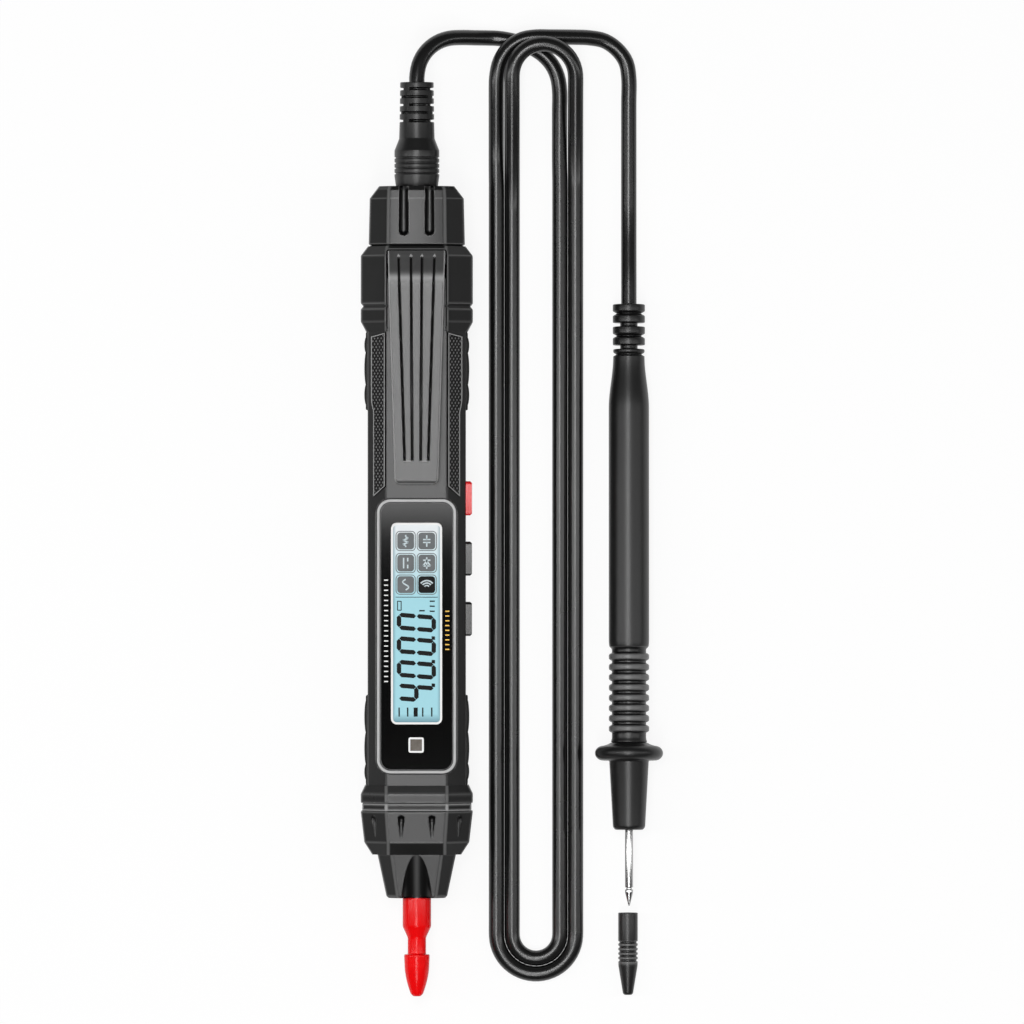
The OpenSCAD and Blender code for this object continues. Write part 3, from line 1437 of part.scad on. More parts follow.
// Points about one lead diameter apart along a path, for the check of its gap to itself.
function filled(path) = [for (i = [0:len(path) - 2])
  let (d = path[i + 1] - path[i], n = max(1, ceil(norm(d) / lead_d)))
    each [for (k = [0:n - 1]) path[i] + d * k / n]];
function least_gap(points, skip) =
  let (last = len(points) - 1)
  min([for (i = [0:last]) each [for (j = [i + skip:1:last]) norm(points[i] - points[j])]]) - lead_d;
function path_length(path) =
  let (steps = [for (i = [1:len(path) - 1]) norm(path[i] - path[i - 1])]) steps * [for (s = steps) 1];
echo(lead_length = path_length(lead_whole), lead_least_gap = least_gap(filled(lead_whole), 6));

module lead_exit_run() {
  color(soft_black) tube(lead_exit_path, lead_r, lead_sides, [0, 1, 0], [0, -1, 0]);
}

module lead_hank() {
  color(soft_black) tube(hank_path, lead_r, hank_sides, [0, -1, 0], [0, 1, 0]);
}

module lead_probe_run() {
  n = len(lead_probe_points) - 1;
  path = [for (i = [0:n]) i == n ? probe_end : lead_probe_points[i]];
  color(soft_black) tube(path, lead_r, lead_sides, [0, 1, 0], [0, -cos(probe_tilt), sin(probe_tilt)]);
}

// Probe

// Middle of the strain relief's end face, where the lead meets it.
probe_end = [probe_x, probe_y + probe_back * cos(probe_tilt),
             guard_r * cos(probe_tilt) - probe_back * sin(probe_tilt)];

module probe_place() {
  translate([probe_x, probe_y, guard_r * cos(probe_tilt)]) rotate([-probe_tilt, 0, 0]) children();
}

module probe_strain_relief() {
  y0 = guard_half + handle_len;
  color(soft_black) probe_place() difference() {
    union() {
      rod_y(y0 - relief_spigot_len, y0 + hair, relief_spigot_r);
      rod_y(y0, y0 + relief_p_len - fit, relief_p_neck);
      for (i = [0:relief_p_discs - 1]) let (y = y0 + relief_p_gap + i * (relief_p_disc + relief_p_gap))
        rod_y(y, y + relief_p_disc, relief_p_r);
    }
    for (i = [0:relief_p_discs - 1]) let (y = y0 + relief_p_gap + i * (relief_p_disc + relief_p_gap))
      ring_cut(y + (relief_p_disc - relief_p_groove) / 2, relief_p_groove,
               relief_p_r - relief_p_depth, relief_p_r + cut);
  }
}

module probe_handle() {
  y1 = guard_half + handle_len;
  y0 = guard_half;
  ribs = [for (i = [0:rib_count - 1]) let (y = y0 + rib_start + i * rib_pitch)
    each [[y - rib_foot, rib_root_r], [y - rib_top, handle_r - rib_depth / 4], [y, handle_r],
          [y + rib_top, handle_r - rib_depth / 4], [y + rib_foot, rib_root_r]]];
  rib_end = y0 + rib_start + rib_count * rib_pitch;
  shoulder_y = y1 - collar_p_len - shoulder_len_p;
  color(soft_black) probe_place() difference() {
    turned(concat(
      [[y0, guard_core_r - fit], [y0 + guard_root, rib_root_r]], ribs,
      [[rib_end - rib_pitch / 4, rib_root_r], [rib_end, handle_r - fit],
       [rib_end + rib_pitch / 2, handle_r], [shoulder_y, handle_r]],
      [for (i = [1:shoulder_steps]) let (t = i / shoulder_steps)
        [shoulder_y + shoulder_len_p * t, handle_r - (handle_r - collar_p_r) * smooth(t)]],
      [[y1, collar_p_r]]));
    ring_cut(y1 - 2 * relief_p_groove, relief_p_groove, collar_p_r - relief_p_depth, collar_p_r + cut);
    rod_y(y1 - relief_spigot_len - fit, y1 + cut, relief_spigot_r + fit / 2);
    rod_y(y0 - cut, y0 + crimp_len + fit, crimp_r + fit);
  }
}

// Finger guard with the tapered nose in front of it.
module probe_guard() {
  half = guard_half - guard_root / 4;
  middle = half - guard_half;
  color(soft_black) probe_place() difference() {
    turned(concat(
      [[-guard_half - nose_p_len, nose_p_end_r - nose_p_round],
       [-guard_half - nose_p_len + nose_p_round, nose_p_end_r], [-guard_half, nose_p_r]],
      [for (i = [0:8]) let (a = -90 + 180 * i / 8)
        [middle + half * sin(a), guard_r - half + half * cos(a)]],
      [[guard_half - guard_root / 2, guard_core_r + guard_root / 2], [guard_half - hair, guard_core_r]]));
    rod_y(-guard_half - nose_p_len - cut, guard_half + cut, probe_shank_r + hair / 2);
  }
}

module probe_needle() {
  y2 = guard_half + crimp_len;
  y1 = -guard_half - nose_p_len;
  y0 = y1 - probe_needle_len;
  color(steel) probe_place() difference() {
    union() {
      turned([[y0, probe_needle_r / 6], [y0 + probe_point_len, probe_needle_r], [y1 - hair, probe_needle_r],
              [y1 - hair, probe_shank_r], [y2 - hair, probe_shank_r]]);
      rod_y(guard_half + hair, y2, crimp_r);
    }
    ring_cut(y0 + probe_notch_at, probe_notch_len, probe_needle_r - probe_notch_depth, probe_needle_r + cut);
  }
}

// Cap that was taken off the probe's needle; it lies loose on the surface.
module probe_cap() {
  r = probe_cap_r;
  y0 = probe_cap_taper_len;
  ribs = [for (i = [0:probe_cap_rib_count - 1]) let (y = y0 + i * probe_cap_rib_pitch)
    each [[y, r], [y + fit, r - probe_cap_rib_depth], [y + probe_cap_rib_gap, r - probe_cap_rib_depth],
          [y + probe_cap_rib_gap + fit, r]]];
  color(soft_black) translate([probe_cap_x, probe_cap_y, r]) difference() {
    turned(concat(
      [[0, probe_cap_end_r / 2], [fit * 4, probe_cap_end_r], [y0 - probe_cap_rib_pitch, r - fit / 2]],
      ribs, [[probe_cap_len, r]]));
    rod_y(probe_cap_len - probe_cap_bore_len + probe_point_len, probe_cap_len + cut, probe_needle_r + hair);
    translate([0, probe_cap_len - probe_cap_bore_len, 0]) rotate([-90, 0, 0])
      cylinder(h = probe_point_len + hair, r1 = probe_needle_r / 3, r2 = probe_needle_r + hair);
  }
}

front_shell();
back_shell();
battery_door();
door_screw();
housing_screws();
rear_collar();
rear_cap();
front_collar();
seal_ring();
nose_collar();
nose_cone();
side_grips();
facet_pads();
display_bezel();
display_panel();
lcd_glass();
lcd_holder();
sensor_lens();
main_board();
board_screws();
push_switches();
buzzer();
input_fuse();
sense_plate();
needle();
needle_strap();
jack_housing();
jack_sleeve();
jack_wire();
battery_cells();
contact_plates();
contact_springs();
pocket_clip();
power_button();
hold_button();
select_button();
needle_cap();
plug_boot();
plug_pin();
lead_exit_run();
lead_hank();
lead_probe_run();
probe_strain_relief();
probe_handle();
probe_guard();
probe_needle();
probe_cap();
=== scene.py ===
# %% [markdown]
# # Dressing a pen multimeter and its test lead
# The model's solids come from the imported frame: the pen along Y with its display up, and beside it the lead
# and the test probe. They carry the sizes, and this script gives them their looks. Round and lofted pieces
# are worked out here as numpy surfaces, moulded pieces with many cut-outs are softened copies of their solids.

# %% Load the frame
import math

import bmesh
import bpy
import numpy as np
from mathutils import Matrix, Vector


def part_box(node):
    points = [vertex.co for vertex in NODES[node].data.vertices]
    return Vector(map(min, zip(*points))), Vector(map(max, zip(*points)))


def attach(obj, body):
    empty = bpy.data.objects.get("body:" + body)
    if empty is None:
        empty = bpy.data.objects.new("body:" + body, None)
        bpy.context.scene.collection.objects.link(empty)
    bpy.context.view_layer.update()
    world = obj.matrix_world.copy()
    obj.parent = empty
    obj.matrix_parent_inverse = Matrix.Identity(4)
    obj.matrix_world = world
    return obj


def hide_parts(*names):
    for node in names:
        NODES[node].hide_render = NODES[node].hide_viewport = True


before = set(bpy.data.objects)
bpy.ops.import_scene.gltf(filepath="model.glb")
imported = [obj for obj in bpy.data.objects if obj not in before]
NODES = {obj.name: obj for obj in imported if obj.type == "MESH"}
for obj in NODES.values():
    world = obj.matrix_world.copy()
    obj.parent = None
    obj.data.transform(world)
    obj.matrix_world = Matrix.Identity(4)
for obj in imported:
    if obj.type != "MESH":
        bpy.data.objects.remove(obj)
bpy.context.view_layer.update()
MM = 0.001

# %% [markdown]
# ## Camera
# The photograph looks straight down from far away through a long lens, so nothing leans. One of its pixels
# is 0.245 mm on the pen. A camera 3 m up with the lens worked out from that width shows the same frame.

# %% Camera
PIXEL = 0.245 * MM
PHOTO_SIDE = 1024
VIEW_HEIGHT = 3.0
AXIS_Z = 11.5 * MM
view_centre = (23.3 * MM, 19.5 * MM)

eye = bpy.data.objects.new("camera", bpy.data.cameras.new("camera"))
bpy.context.scene.collection.objects.link(eye)
eye.location = (*view_centre, AXIS_Z + VIEW_HEIGHT)
eye.data.lens = eye.data.sensor_width * VIEW_HEIGHT / (PHOTO_SIDE * PIXEL)
eye.data.clip_start, eye.data.clip_end = 0.05, 20
bpy.context.scene.camera = eye
bpy.context.scene.view_settings.view_transform = "Standard"
print("lens:", round(eye.data.lens, 1), "mm")

# %% [markdown]
# ## Surfaces as grids
# Almost every piece below is a sheet of points with two parameters, rows by columns. Joining neighbours gives
# four-sided faces, so one helper can turn any such array into a mesh. A row that has shrunk to one point is a
# pole and gets a fan of triangles. Closed shapes are turned so that their faces point outwards.


# %% Grid to mesh
def piece(name, points, faces, body, look):
    """Object at the origin from points (n, 3) and a list of face index tuples."""
    mesh = bpy.data.meshes.new(name)
    mesh.from_pydata(points.tolist(), [], faces)
    mesh.shade_smooth()
    mesh.materials.append(look)
    made = bpy.data.objects.new(name, mesh)
    bpy.context.scene.collection.objects.link(made)
    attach(made, body)
    return made


def signed_volume(points, quads):
    """Sum of the volumes of the cones from the origin to each face: positive when faces point outwards."""
    a, b, c, d = (points[quads[:, k]] for k in range(4))
    return float(np.sum(np.cross(a, b) * c) + np.sum(np.cross(a, c) * d)) / 6


def ring_quads(rows, columns, loop=False):
    """Index quads of a sheet whose columns wrap round; loop joins the last row to the first."""
    i, j = np.arange(rows if loop else rows - 1)[:, None], np.arange(columns)[None, :]
    i2, j2 = (i + 1) % rows, (j + 1) % columns
    corners = [i * columns + j, i * columns + j2, i2 * columns + j2, i2 * columns + j]
    return np.stack(corners, -1).reshape(-1, 4)


def grid(name, sheet, body, look, loop=False, sharp=None, paint=None):
    """Mesh of a sheet (rows, columns, 3) with its faces outwards and poles merged. paint is a value from -1 to 1
    for each point, a painted highlight above 0 and painted shade below, kept as the attribute that a finish
    may read; edges sharper than sharp degrees stay sharp."""
    points = sheet.reshape(-1, 3)
    quads = ring_quads(*sheet.shape[:2], loop)
    if signed_volume(points, quads) < 0:
        quads = quads[:, ::-1]
    made = piece(name, points, quads.tolist(), body, look)
    if paint is not None:
        layer = made.data.attributes.new("paint", "FLOAT", "POINT")
        layer.data.foreach_set("value", paint.astype(np.float32).ravel())
    work = bmesh.new()
    work.from_mesh(made.data)
    bmesh.ops.remove_doubles(work, verts=work.verts, dist=1e-7)
    work.to_mesh(made.data)
    work.free()
    if sharp:
        made.data.set_sharp_from_angle(angle=math.radians(sharp))
    return made


print("helpers ready")

# %% [markdown]
# ## Moulded plastic, rubber and metal
# Real mouldings are never one flat value: the tool leaves a fine texture, handling polishes patches, and the
# tone drifts a little. Each finish below mixes two near tones with a slow noise, lets a second range of it vary
# the roughness, and bumps the surface with a fine grain. Numbers that are the same all over sit on the shader.
# Some finishes also read a paint attribute: painted highlights make edges and crests lighter, and
# painted shade makes deep grooves darker.


# %% Finish helper
def link(tree, source, target):
    tree.links.new(source, target)


def node(tree, kind, *sources, **values):
    """New shader node: values go to its inputs or settings, and the sources feed its first inputs in order."""
    made = tree.nodes.new("ShaderNode" + kind)
    for key, value in values.items():
        if key in made.inputs:
            made.inputs[key].default_value = value
        else:
            setattr(made, key, value)
    for source, target in zip(sources, made.inputs):
        link(tree, source, target)
    return made


def finish(name, low, high, rough, shine=0.5, patch=9.0, grain=0.25, depth=0.02, stretch=(1, 1, 1), metal=0.0):
    """Principled finish: tones low to high and roughness rough[0] to rough[1] by a noise with patches of patch mm,
    and a bump with grains of grain mm that is depth mm deep. A tone is a colour, or one number for a grey."""
    made = bpy.data.materials.new(name)
    made.use_nodes = True
    tree = made.node_tree
    shader = tree.nodes["Principled BSDF"]
    shader.inputs["Specular IOR Level"].default_value = shine
    shader.inputs["Metallic"].default_value = metal
    place = node(tree, "TexCoord")
    scaled = node(tree, "Mapping", place.outputs["Object"], Scale=stretch).outputs[0]
    slow = node(tree, "TexNoise", scaled, Scale=1 / (patch * MM), Detail=3.0).outputs["Fac"]
    fine = node(tree, "TexNoise", scaled, Scale=1 / (grain * MM), Detail=2.0).outputs["Fac"]
    tone = node(tree, "ValToRGB", slow)
    for stop, position, colour in zip(tone.color_ramp.elements, (0.3, 0.7), (low, high)):
        stop.position, stop.color = position, (*np.broadcast_to(colour, 3).tolist(), 1)
    gloss = node(tree, "MapRange", slow, **{"To Min": rough[0], "To Max": rough[1]})
    bump = node(tree, "Bump", Distance=depth * MM, Strength=0.6)
    link(tree, fine, bump.inputs["Height"])
    for source, target in ((tone, "Base Color"), (gloss, "Roughness"), (bump, "Normal")):
        link(tree, source.outputs[0], shader.inputs[target])
    return made


def painted(look, light, dark):
    """Let the attribute paint change a finish: a painted highlight towards grey light where it is above 0,
    painted shade towards grey dark below.
    """
    tree = look.node_tree
    paint = node(tree, "Attribute", attribute_name="paint")
    colour = tree.nodes["Color Ramp"].outputs["Color"]
    for end, level in ((1, light), (-1, dark)):
        share = node(tree, "MapRange", paint.outputs["Fac"], **{"From Max": end})
        mix = node(tree, "Mix", share.outputs["Result"], data_type="RGBA")
        link(tree, colour, mix.inputs[6])
        mix.inputs[7].default_value = (level, level, level, 1)
        colour = mix.outputs[2]
    link(tree, colour, tree.nodes["Principled BSDF"].inputs["Base Color"])


# %% Finishes of the pen and the lead
satin_black = finish("satin_black", 0.006, 0.009, (0.28, 0.34), 0.36, depth=0.002)
trim_black = finish("trim_black", 0.006, 0.009, (0.26, 0.31), 0.28, depth=0.0012)
grip_rubber = finish("grip_rubber", 0.005, 0.008, (0.4, 0.5), 0.25, grain=0.16, depth=0.01)
gloss_black = finish("gloss_black", 0.0015, 0.0022, (0.055, 0.065), 0.13, depth=0)
bezel_grey = finish("bezel_grey", 0.43, 0.48, (0.32, 0.42), 0.2, depth=0.003)
clip_grey = finish("clip_grey", 0.05, 0.065, (0.26, 0.34), 0.4, patch=6, grain=0.12, depth=0.004, stretch=(1, 0.12, 1))
red_gloss = finish("red_gloss", (0.78, 0.001, 0.002), (0.86, 0.002, 0.003), (0.2, 0.26), 0.2, grain=0.8, depth=0.002)
red_key = finish("red_key", (0.68, 0.003, 0.006), (0.76, 0.006, 0.01), (0.2, 0.26), 0.35, grain=0.5, depth=0.002)
key_black = finish("key_black", 0.004, 0.006, (0.22, 0.28), 0.4, depth=0.003)
lead_black = finish("lead_black", 0.003, 0.005, (0.24, 0.3), 0.55, patch=14, grain=0.5, depth=0.0005)
moulded_black = finish("moulded_black", 0.004, 0.006, (0.34, 0.4), 0.5, grain=0.2, depth=0.003)
bright_steel = finish("bright_steel", 0.36, 0.46, (0.14, 0.24), patch=3, grain=0.1, depth=0.002, stretch=(1, 0.1, 1),
                      metal=1.0)
# Greys of the painted highlights and of the painted shade.
EDGE_HIGHLIGHT_GREY, HIGHLIGHT_GREY, SHADE_GREY = 0.13, 0.38, 0.0008
for look in (trim_black, moulded_black):
    painted(look, EDGE_HIGHLIGHT_GREY, SHADE_GREY)
for look in (grip_rubber, clip_grey, bezel_grey):
    painted(look, HIGHLIGHT_GREY, SHADE_GREY)
print("finishes:", len(bpy.data.materials))

# %% [markdown]
# ## The lead
# The lead is one piece of black jacket, a little over a metre long: it leaves the plug, drops to the table,
# runs twice round a long flat hank and goes to the probe. Both free stretches are short lists of points on the
# table; the hank follows a rule, two loops that sit side by side, with a long low hump where the outer loop
# crosses the free stretch. A smooth curve through all of it is sampled evenly, and a ring is carried along it.

# %% Route of the lead
LEAD_R, JACKET_R = 1.75 * MM, 1.9 * MM
LOOP_R, LOOP_STEP, LOOPS, CROWN_STEPS, RUN_POINTS = 5.88 * MM, 3.83 * MM, 2, 24, 50
HANK_X, HANK_TOP, HANK_BOTTOM, HANK_OPEN = 29.2 * MM, 126.3 * MM, -84.3 * MM, 100 * MM
HUMP_REACH, HUMP = 45 * MM, 8.1 * MM
plug_end = [0, 124.75, 11.5]
probe_end = [52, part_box("probe_strain_relief")[1].y / MM, 3.92]
exit_run = np.array([
    plug_end, [0, 126.2, 11.4], [0.6, 129.4, 10.9], [2.2, 132.3, 9.9], [4.7, 134.5, 8.5],
    [7.7, 135.7, 6.8], [11, 136, 4.9], [14.2, 136, 3.2], [17.2, 136, 2.1], [20, 135.9, 1.75],
    [23, 135.4, 1.75], [25.9, 134.6, 1.75], [28.6, 133.4, 1.75], [31.1, 131.7, 1.75], [33.2, 129.3, 1.75],
    [34.5, 126.4, 1.75], [35, 123, 1.75], [35, 118, 1.75], [35, 112, 1.75], [35, 106, 1.75]]) * MM
probe_run = np.array([
    [19.45, 104, 1.8], [19.45, 109, 2.2], [19.45, 114, 3.1], [19.45, 119, 4.2],
    [19.45, 123, 5], [19.55, 126.3, 5.5], [20.4, 130.2, 5.75], [22.6, 133.5, 5.8], [25.7, 135.5, 5.8],
    [29.2, 136.1, 5.8], [32.7, 136.1, 5.7], [36, 136.1, 5.1], [39.2, 136.1, 4.1], [42.3, 136, 3],
    [46, 135.3, 2.2], [49.1, 133.2, 1.85], [51.3, 130.1, 1.75], [52, 126.3, 1.75], [52, 120, 1.75],
    [52, 112, 1.75], [52, 103, 1.75], [52, 95, 1.85], [52, 88, 2.2], [52, 82, 2.9], [52, 77.5, 3.45],
    probe_end]) * MM
print("free stretches:", len(exit_run), "and", len(probe_run), "points")


# %% Hank and smooth curve
def hump(distance):
    """Height of the lead's middle: on the table, and raised by a cosine wave near the crown of the loops."""
    wave = HUMP * (1 + np.cos(math.pi * distance / HUMP_REACH)) / 2
    return LEAD_R + np.where(distance < HUMP_REACH, wave, 0)


def hank():
    """Loops of two straight runs and two half circles; each crown grows by one step to the next loop."""
    parts = []
    for k in range(LOOPS):
        first, last = k == 0, k == LOOPS - 1
        r = LOOP_R + LOOP_STEP * k
        for sign, start, stop, low in ((1, HANK_OPEN if first else HANK_TOP, HANK_BOTTOM, first),
                                       (-1, HANK_BOTTOM, HANK_OPEN if last else HANK_TOP, last)):
            y = np.linspace(start, stop, RUN_POINTS)
            z = LEAD_R + 0 * y if low else hump(math.pi / 2 * r + HANK_TOP - y)
            parts.append(np.stack([HANK_X + sign * r + 0 * y, y, z], -1))
            if sign > 0:
                a = -math.pi * np.arange(1, CROWN_STEPS) / CROWN_STEPS
                parts.append(np.stack([HANK_X + r * np.cos(a), HANK_BOTTOM + r * np.sin(a), LEAD_R + 0 * a], -1))
        if not last:
            a = math.pi * (1 - np.arange(1, CROWN_STEPS) / CROWN_STEPS)
            t = 1 - a / math.pi
            grown = LOOP_R + LOOP_STEP * (k + t * t * (3 - 2 * t))
            z = hump(abs(math.pi / 2 - a) * grown)
            parts.append(np.stack([HANK_X + grown * np.cos(a), HANK_TOP + grown * np.sin(a), z], -1))
    return np.concatenate(parts)


def smooth_curve(points, step):
    """Cubic curve through the points, each tangent weighted by the square roots of the gaps beside it, resampled
    at even steps along its length."""
    gap = np.linalg.norm(np.diff(points, axis=0), axis=1) ** 0.5
    slope = np.diff(points, axis=0) / gap[:, None]
    inner = (slope[1:] * gap[:-1, None] + slope[:-1] * gap[1:, None]) / (gap[:-1] + gap[1:])[:, None]
    tangent = np.concatenate([slope[:1], inner, slope[-1:]])
    t = np.linspace(0, 1, 9)[:-1, None, None]
    a, b = points[None, :-1], points[None, 1:]
    ma, mb = tangent[None, :-1] * gap[:, None], tangent[None, 1:] * gap[:, None]
    fine = ((2 * t**3 - 3 * t**2 + 1) * a + (t**3 - 2 * t**2 + t) * ma
            + (3 * t**2 - 2 * t**3) * b + (t**3 - t**2) * mb)
    fine = np.concatenate([fine.transpose(1, 0, 2).reshape(-1, 3), points[-1:]])
    run = np.concatenate([[0], np.cumsum(np.linalg.norm(np.diff(fine, axis=0), axis=1))])
    even = np.linspace(0, run[-1], round(run[-1] / step) + 1)
    return np.stack([np.interp(even, run, fine[:, k]) for k in range(3)], -1), float(run[-1])


lead_path, lead_length = smooth_curve(np.concatenate([exit_run, hank(), probe_run]), 1.1 * MM)
print("lead:", round(lead_length, 3), "m in", len(lead_path), "points")


# %% Jacket of the lead
def tube(path, radius, sides):
    """Ring of sides points carried along the path, square to it, shrunk to a point at both ends to close it."""
    ahead = np.gradient(path, axis=0)
    ahead /= np.linalg.norm(ahead, axis=1)[:, None]
    across = np.cross(ahead, [0, 0, 1.0])
    across /= np.linalg.norm(across, axis=1)[:, None]
    above = np.cross(across, ahead)
    a = (2 * math.pi * np.arange(sides) / sides)[None, :, None]
    rings = path[:, None] + radius * (np.cos(a) * across[:, None] + np.sin(a) * above[:, None])
    ends = [np.repeat(path[k][None, None], sides, 1) for k in (0, -1)]
    return np.concatenate([ends[0], rings, ends[1]])


lead_path[:, 2] = np.maximum(lead_path[:, 2], JACKET_R)
lead = grid("lead_cable", tube(lead_path, JACKET_R, 24), "lead", lead_black, sharp=60)
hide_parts("lead_exit_run", "lead_hank", "lead_probe_run")
print("lead_cable:", len(lead.data.polygons), "faces")

# %% [markdown]
# ## Turned pieces
# The probe, its cap, the plug and the red needle cap are all round about one line, so each is a profile of
# lengths and radii spun round. A mould never leaves a razor edge, so the profile's corners are first eased by
# a small curve. Where a surface isn't quite round, as on the plug's strain relief, the radius is a function
# of the angle too.


# %% Spun surfaces
def eased(rows, ease, steps=4):
    """Profile with every inner corner replaced by a short quadratic curve that starts and ends ease away from it,
    or a third of the way to the next corner where that is nearer."""
    p = np.array(rows, float) * MM
    before, corner, after = p[:-2], p[1:-1], p[2:]
    back, on = before - corner, after - corner
    far_back, far_on = np.linalg.norm(back[:, :2], axis=1), np.linalg.norm(on[:, :2], axis=1)
    start = corner + back * np.minimum(ease * MM / np.maximum(far_back, 1e-9), 0.33)[:, None]
    end = corner + on * np.minimum(ease * MM / np.maximum(far_on, 1e-9), 0.33)[:, None]
    t = np.linspace(0, 1, steps)[None, :, None]
    curve = (1 - t) ** 2 * start[:, None] + 2 * t * (1 - t) * corner[:, None] + t**2 * end[:, None]
    return np.concatenate([p[:1], curve.reshape(-1, p.shape[1]), p[-1:]])


def spun(profile, sides, place, radius=None):
    """Rows (length, radius) turned about a line into a sheet; radius(rows, angles) may change the radii."""
    a = 2 * math.pi * np.arange(sides)[None, :] / sides
    r = np.repeat(profile[:, 1:], sides, 1)
    if radius:
        r = radius(profile[:, :1], r, a)
    y = np.repeat(profile[:, :1], sides, 1)
    return place(np.stack([r * np.cos(a), y, r * np.sin(a)], -1))


def ring_paint(profile, sides, low, high, dark_r, light_r):
    """Paint for a spun piece between two lengths: painted shade up to one radius, a painted highlight from
    another one on.
    """
    along, reach = profile[:, 0] / MM, profile[:, 1] / MM
    value = np.clip((reach - dark_r) / (light_r - dark_r), 0, 1) * 1.7 - 0.9
    return np.repeat((value * (along > low) * (along < high))[:, None], sides, 1)


def turned(name, source, rows, sides, place, body, look, slot, sharp, radius=None, loop=False, rings=None):
    """Piece spun from a profile that stands for a node; rings are the lengths and radii that ring_paint needs."""
    paint = ring_paint(rows, sides, *rings) if rings else None
    made = grid(name, spun(rows, sides, place, radius), body, look, loop, sharp, paint)
    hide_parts(source)
    print(name, len(made.data.polygons), "faces")
    return made


def on_pen(sheet):
    """Local line to the pen's axis."""
    return sheet + np.array([0, 0, AXIS_Z])


PROBE_X, GUARD_R = 52 * MM, 8.35 * MM
PROBE_Y = -39.25 * MM
PROBE_TILT = math.radians(2.297)


def on_probe(sheet):
    """Local line, measured from the finger guard's middle, to the probe that rests on guard and strain relief."""
    x, y, z = sheet[..., 0], sheet[..., 1], sheet[..., 2]
    c, s = math.cos(PROBE_TILT), math.sin(PROBE_TILT)
    return np.stack([x + PROBE_X, y * c + z * s + PROBE_Y, z * c - y * s + GUARD_R * c], -1)


print("spun surfaces ready")

# %% [markdown]
# ## Probe
# The handle is a plain waist-free tube that narrows towards the lead, with eight raised rings near the finger
# guard. The guard is a flat torus that grows out of the tapered nose. Both are one profile each.

# %% Probe handle
HANDLE_R, HANDLE_LEN, GUARD_HALF = 4.95, 96.6, 2.2
RIB_PITCH, RIBS, RIB_ROOT = 2.52, 8, 4.2
NECK_LEN, NECK_TAPER, NECK_END_R = 14.4, 12.5, 3.85
SOCKET_END, SOCKET_R = GUARD_HALF + 10.1, 1.8
ribs_start = GUARD_HALF + 3.4
ribs_end, handle_end = ribs_start + RIBS * RIB_PITCH, GUARD_HALF + HANDLE_LEN
rib_shape = [[-0.38, RIB_ROOT], [-0.32, 4.6], [-0.2, 4.93], [0, 4.95], [0.2, 4.93], [0.32, 4.6], [0.38, RIB_ROOT]]
rib_rows = [[ribs_start + (i + s) * RIB_PITCH, r] for i in range(RIBS) for s, r in rib_shape]
t = np.linspace(0, 1, 12)[1:]
neck = np.stack([handle_end - NECK_LEN + NECK_TAPER * t, HANDLE_R - 1.1 * t * t * (3 - 2 * t)], -1).tolist()
handle_rows = eased([
    [SOCKET_END, 0], [SOCKET_END, SOCKET_R], [GUARD_HALF, SOCKET_R], [GUARD_HALF, 4.5], [GUARD_HALF + 1, RIB_ROOT],
    *rib_rows, [ribs_end - 0.6, RIB_ROOT], [ribs_end, 4.85], [ribs_end + 1.3, HANDLE_R],
    [handle_end - NECK_LEN, HANDLE_R], *neck, [handle_end - 1.75, NECK_END_R], [handle_end - 1.3, 3.0],
    [handle_end - 0.85, NECK_END_R], [handle_end, NECK_END_R], [handle_end, 2.63], [handle_end - 3.1, 2.63],
    [handle_end - 3.1, 0]], 0.35)
# Painted highlights on the crests of the rings, painted shade between them.
handle = turned("probe_grip_tube", "probe_handle", handle_rows, 96, on_probe, "lead", moulded_black, "moulded", 50,
                rings=(GUARD_HALF + 1.9, ribs_end, 4.25, 4.9))

# %% Finger guard and nose
NOSE_LEN, PIN_BORE, RIM_R = 17, 0.75, 1.98
nose_tip, guard_back = -GUARD_HALF - NOSE_LEN, GUARD_HALF - 0.05
a = np.radians(np.linspace(-90, 90, 17))
rim = np.stack([GUARD_HALF * (np.sin(a) * 0.82 - 0.18), GUARD_R / MM - RIM_R + RIM_R * np.cos(a)], -1).tolist()
guard_rows = [[guard_back, PIN_BORE], [nose_tip, PIN_BORE], [nose_tip, 3.4], [nose_tip + 0.7, 3.95],
              [-GUARD_HALF, 4.85], *rim, [1.8, 5.1], [guard_back, 4.6], [guard_back, PIN_BORE]]
guard = turned("finger_guard", "probe_guard", eased(guard_rows, 0.4)[:-1], 96, on_probe, "lead", moulded_black,
               "guard", 50, loop=True)

DISC_R, DISC_CORE, DISC_PITCH = 3.95, 2.15, 5.5
disc_rows = [[handle_end + 1 + i * DISC_PITCH + at_y, r] for i in range(2) for at_y, r in (
    (0, DISC_CORE), (0, DISC_R), (1.7, DISC_R), (2.25, 2.9), (2.8, DISC_R), (4.5, DISC_R), (4.5, DISC_CORE))]
relief_end = disc_rows[-1][0]
relief_rows = eased([[handle_end - 3, 0], [handle_end - 3, 2.6], [handle_end, 2.6], [handle_end, DISC_CORE],
                     *disc_rows[:-1], [relief_end, 1.8], [relief_end, 0]], 0.25)
# Painted shade in the grooves and necks of the strain relief.
relief = turned("probe_relief", "probe_strain_relief", relief_rows, 72, on_probe, "lead", moulded_black, "moulded",
                50, rings=(handle_end, relief_end + 1, 2.9, 5.2))

# %% Needle and loose cap
PIN_R, NECK_R, SHANK_R = 0.98, 0.68, 0.7
tip = nose_tip - 18.6
needle_rows = [[tip, 0], [tip, 0.16], [tip + 3.2, PIN_R], [tip + 4, PIN_R], [tip + 4, NECK_R], [tip + 4.5, NECK_R],
               [tip + 4.5, PIN_R], [nose_tip, PIN_R], [nose_tip, SHANK_R], [GUARD_HALF, SHANK_R], [GUARD_HALF, 1.7],
               [GUARD_HALF + 10, 1.7], [GUARD_HALF + 10, 0]]
pin = turned("probe_pin", "probe_needle", eased(needle_rows, 0.12), 48, on_probe, "lead", bright_steel, "needle", 40)

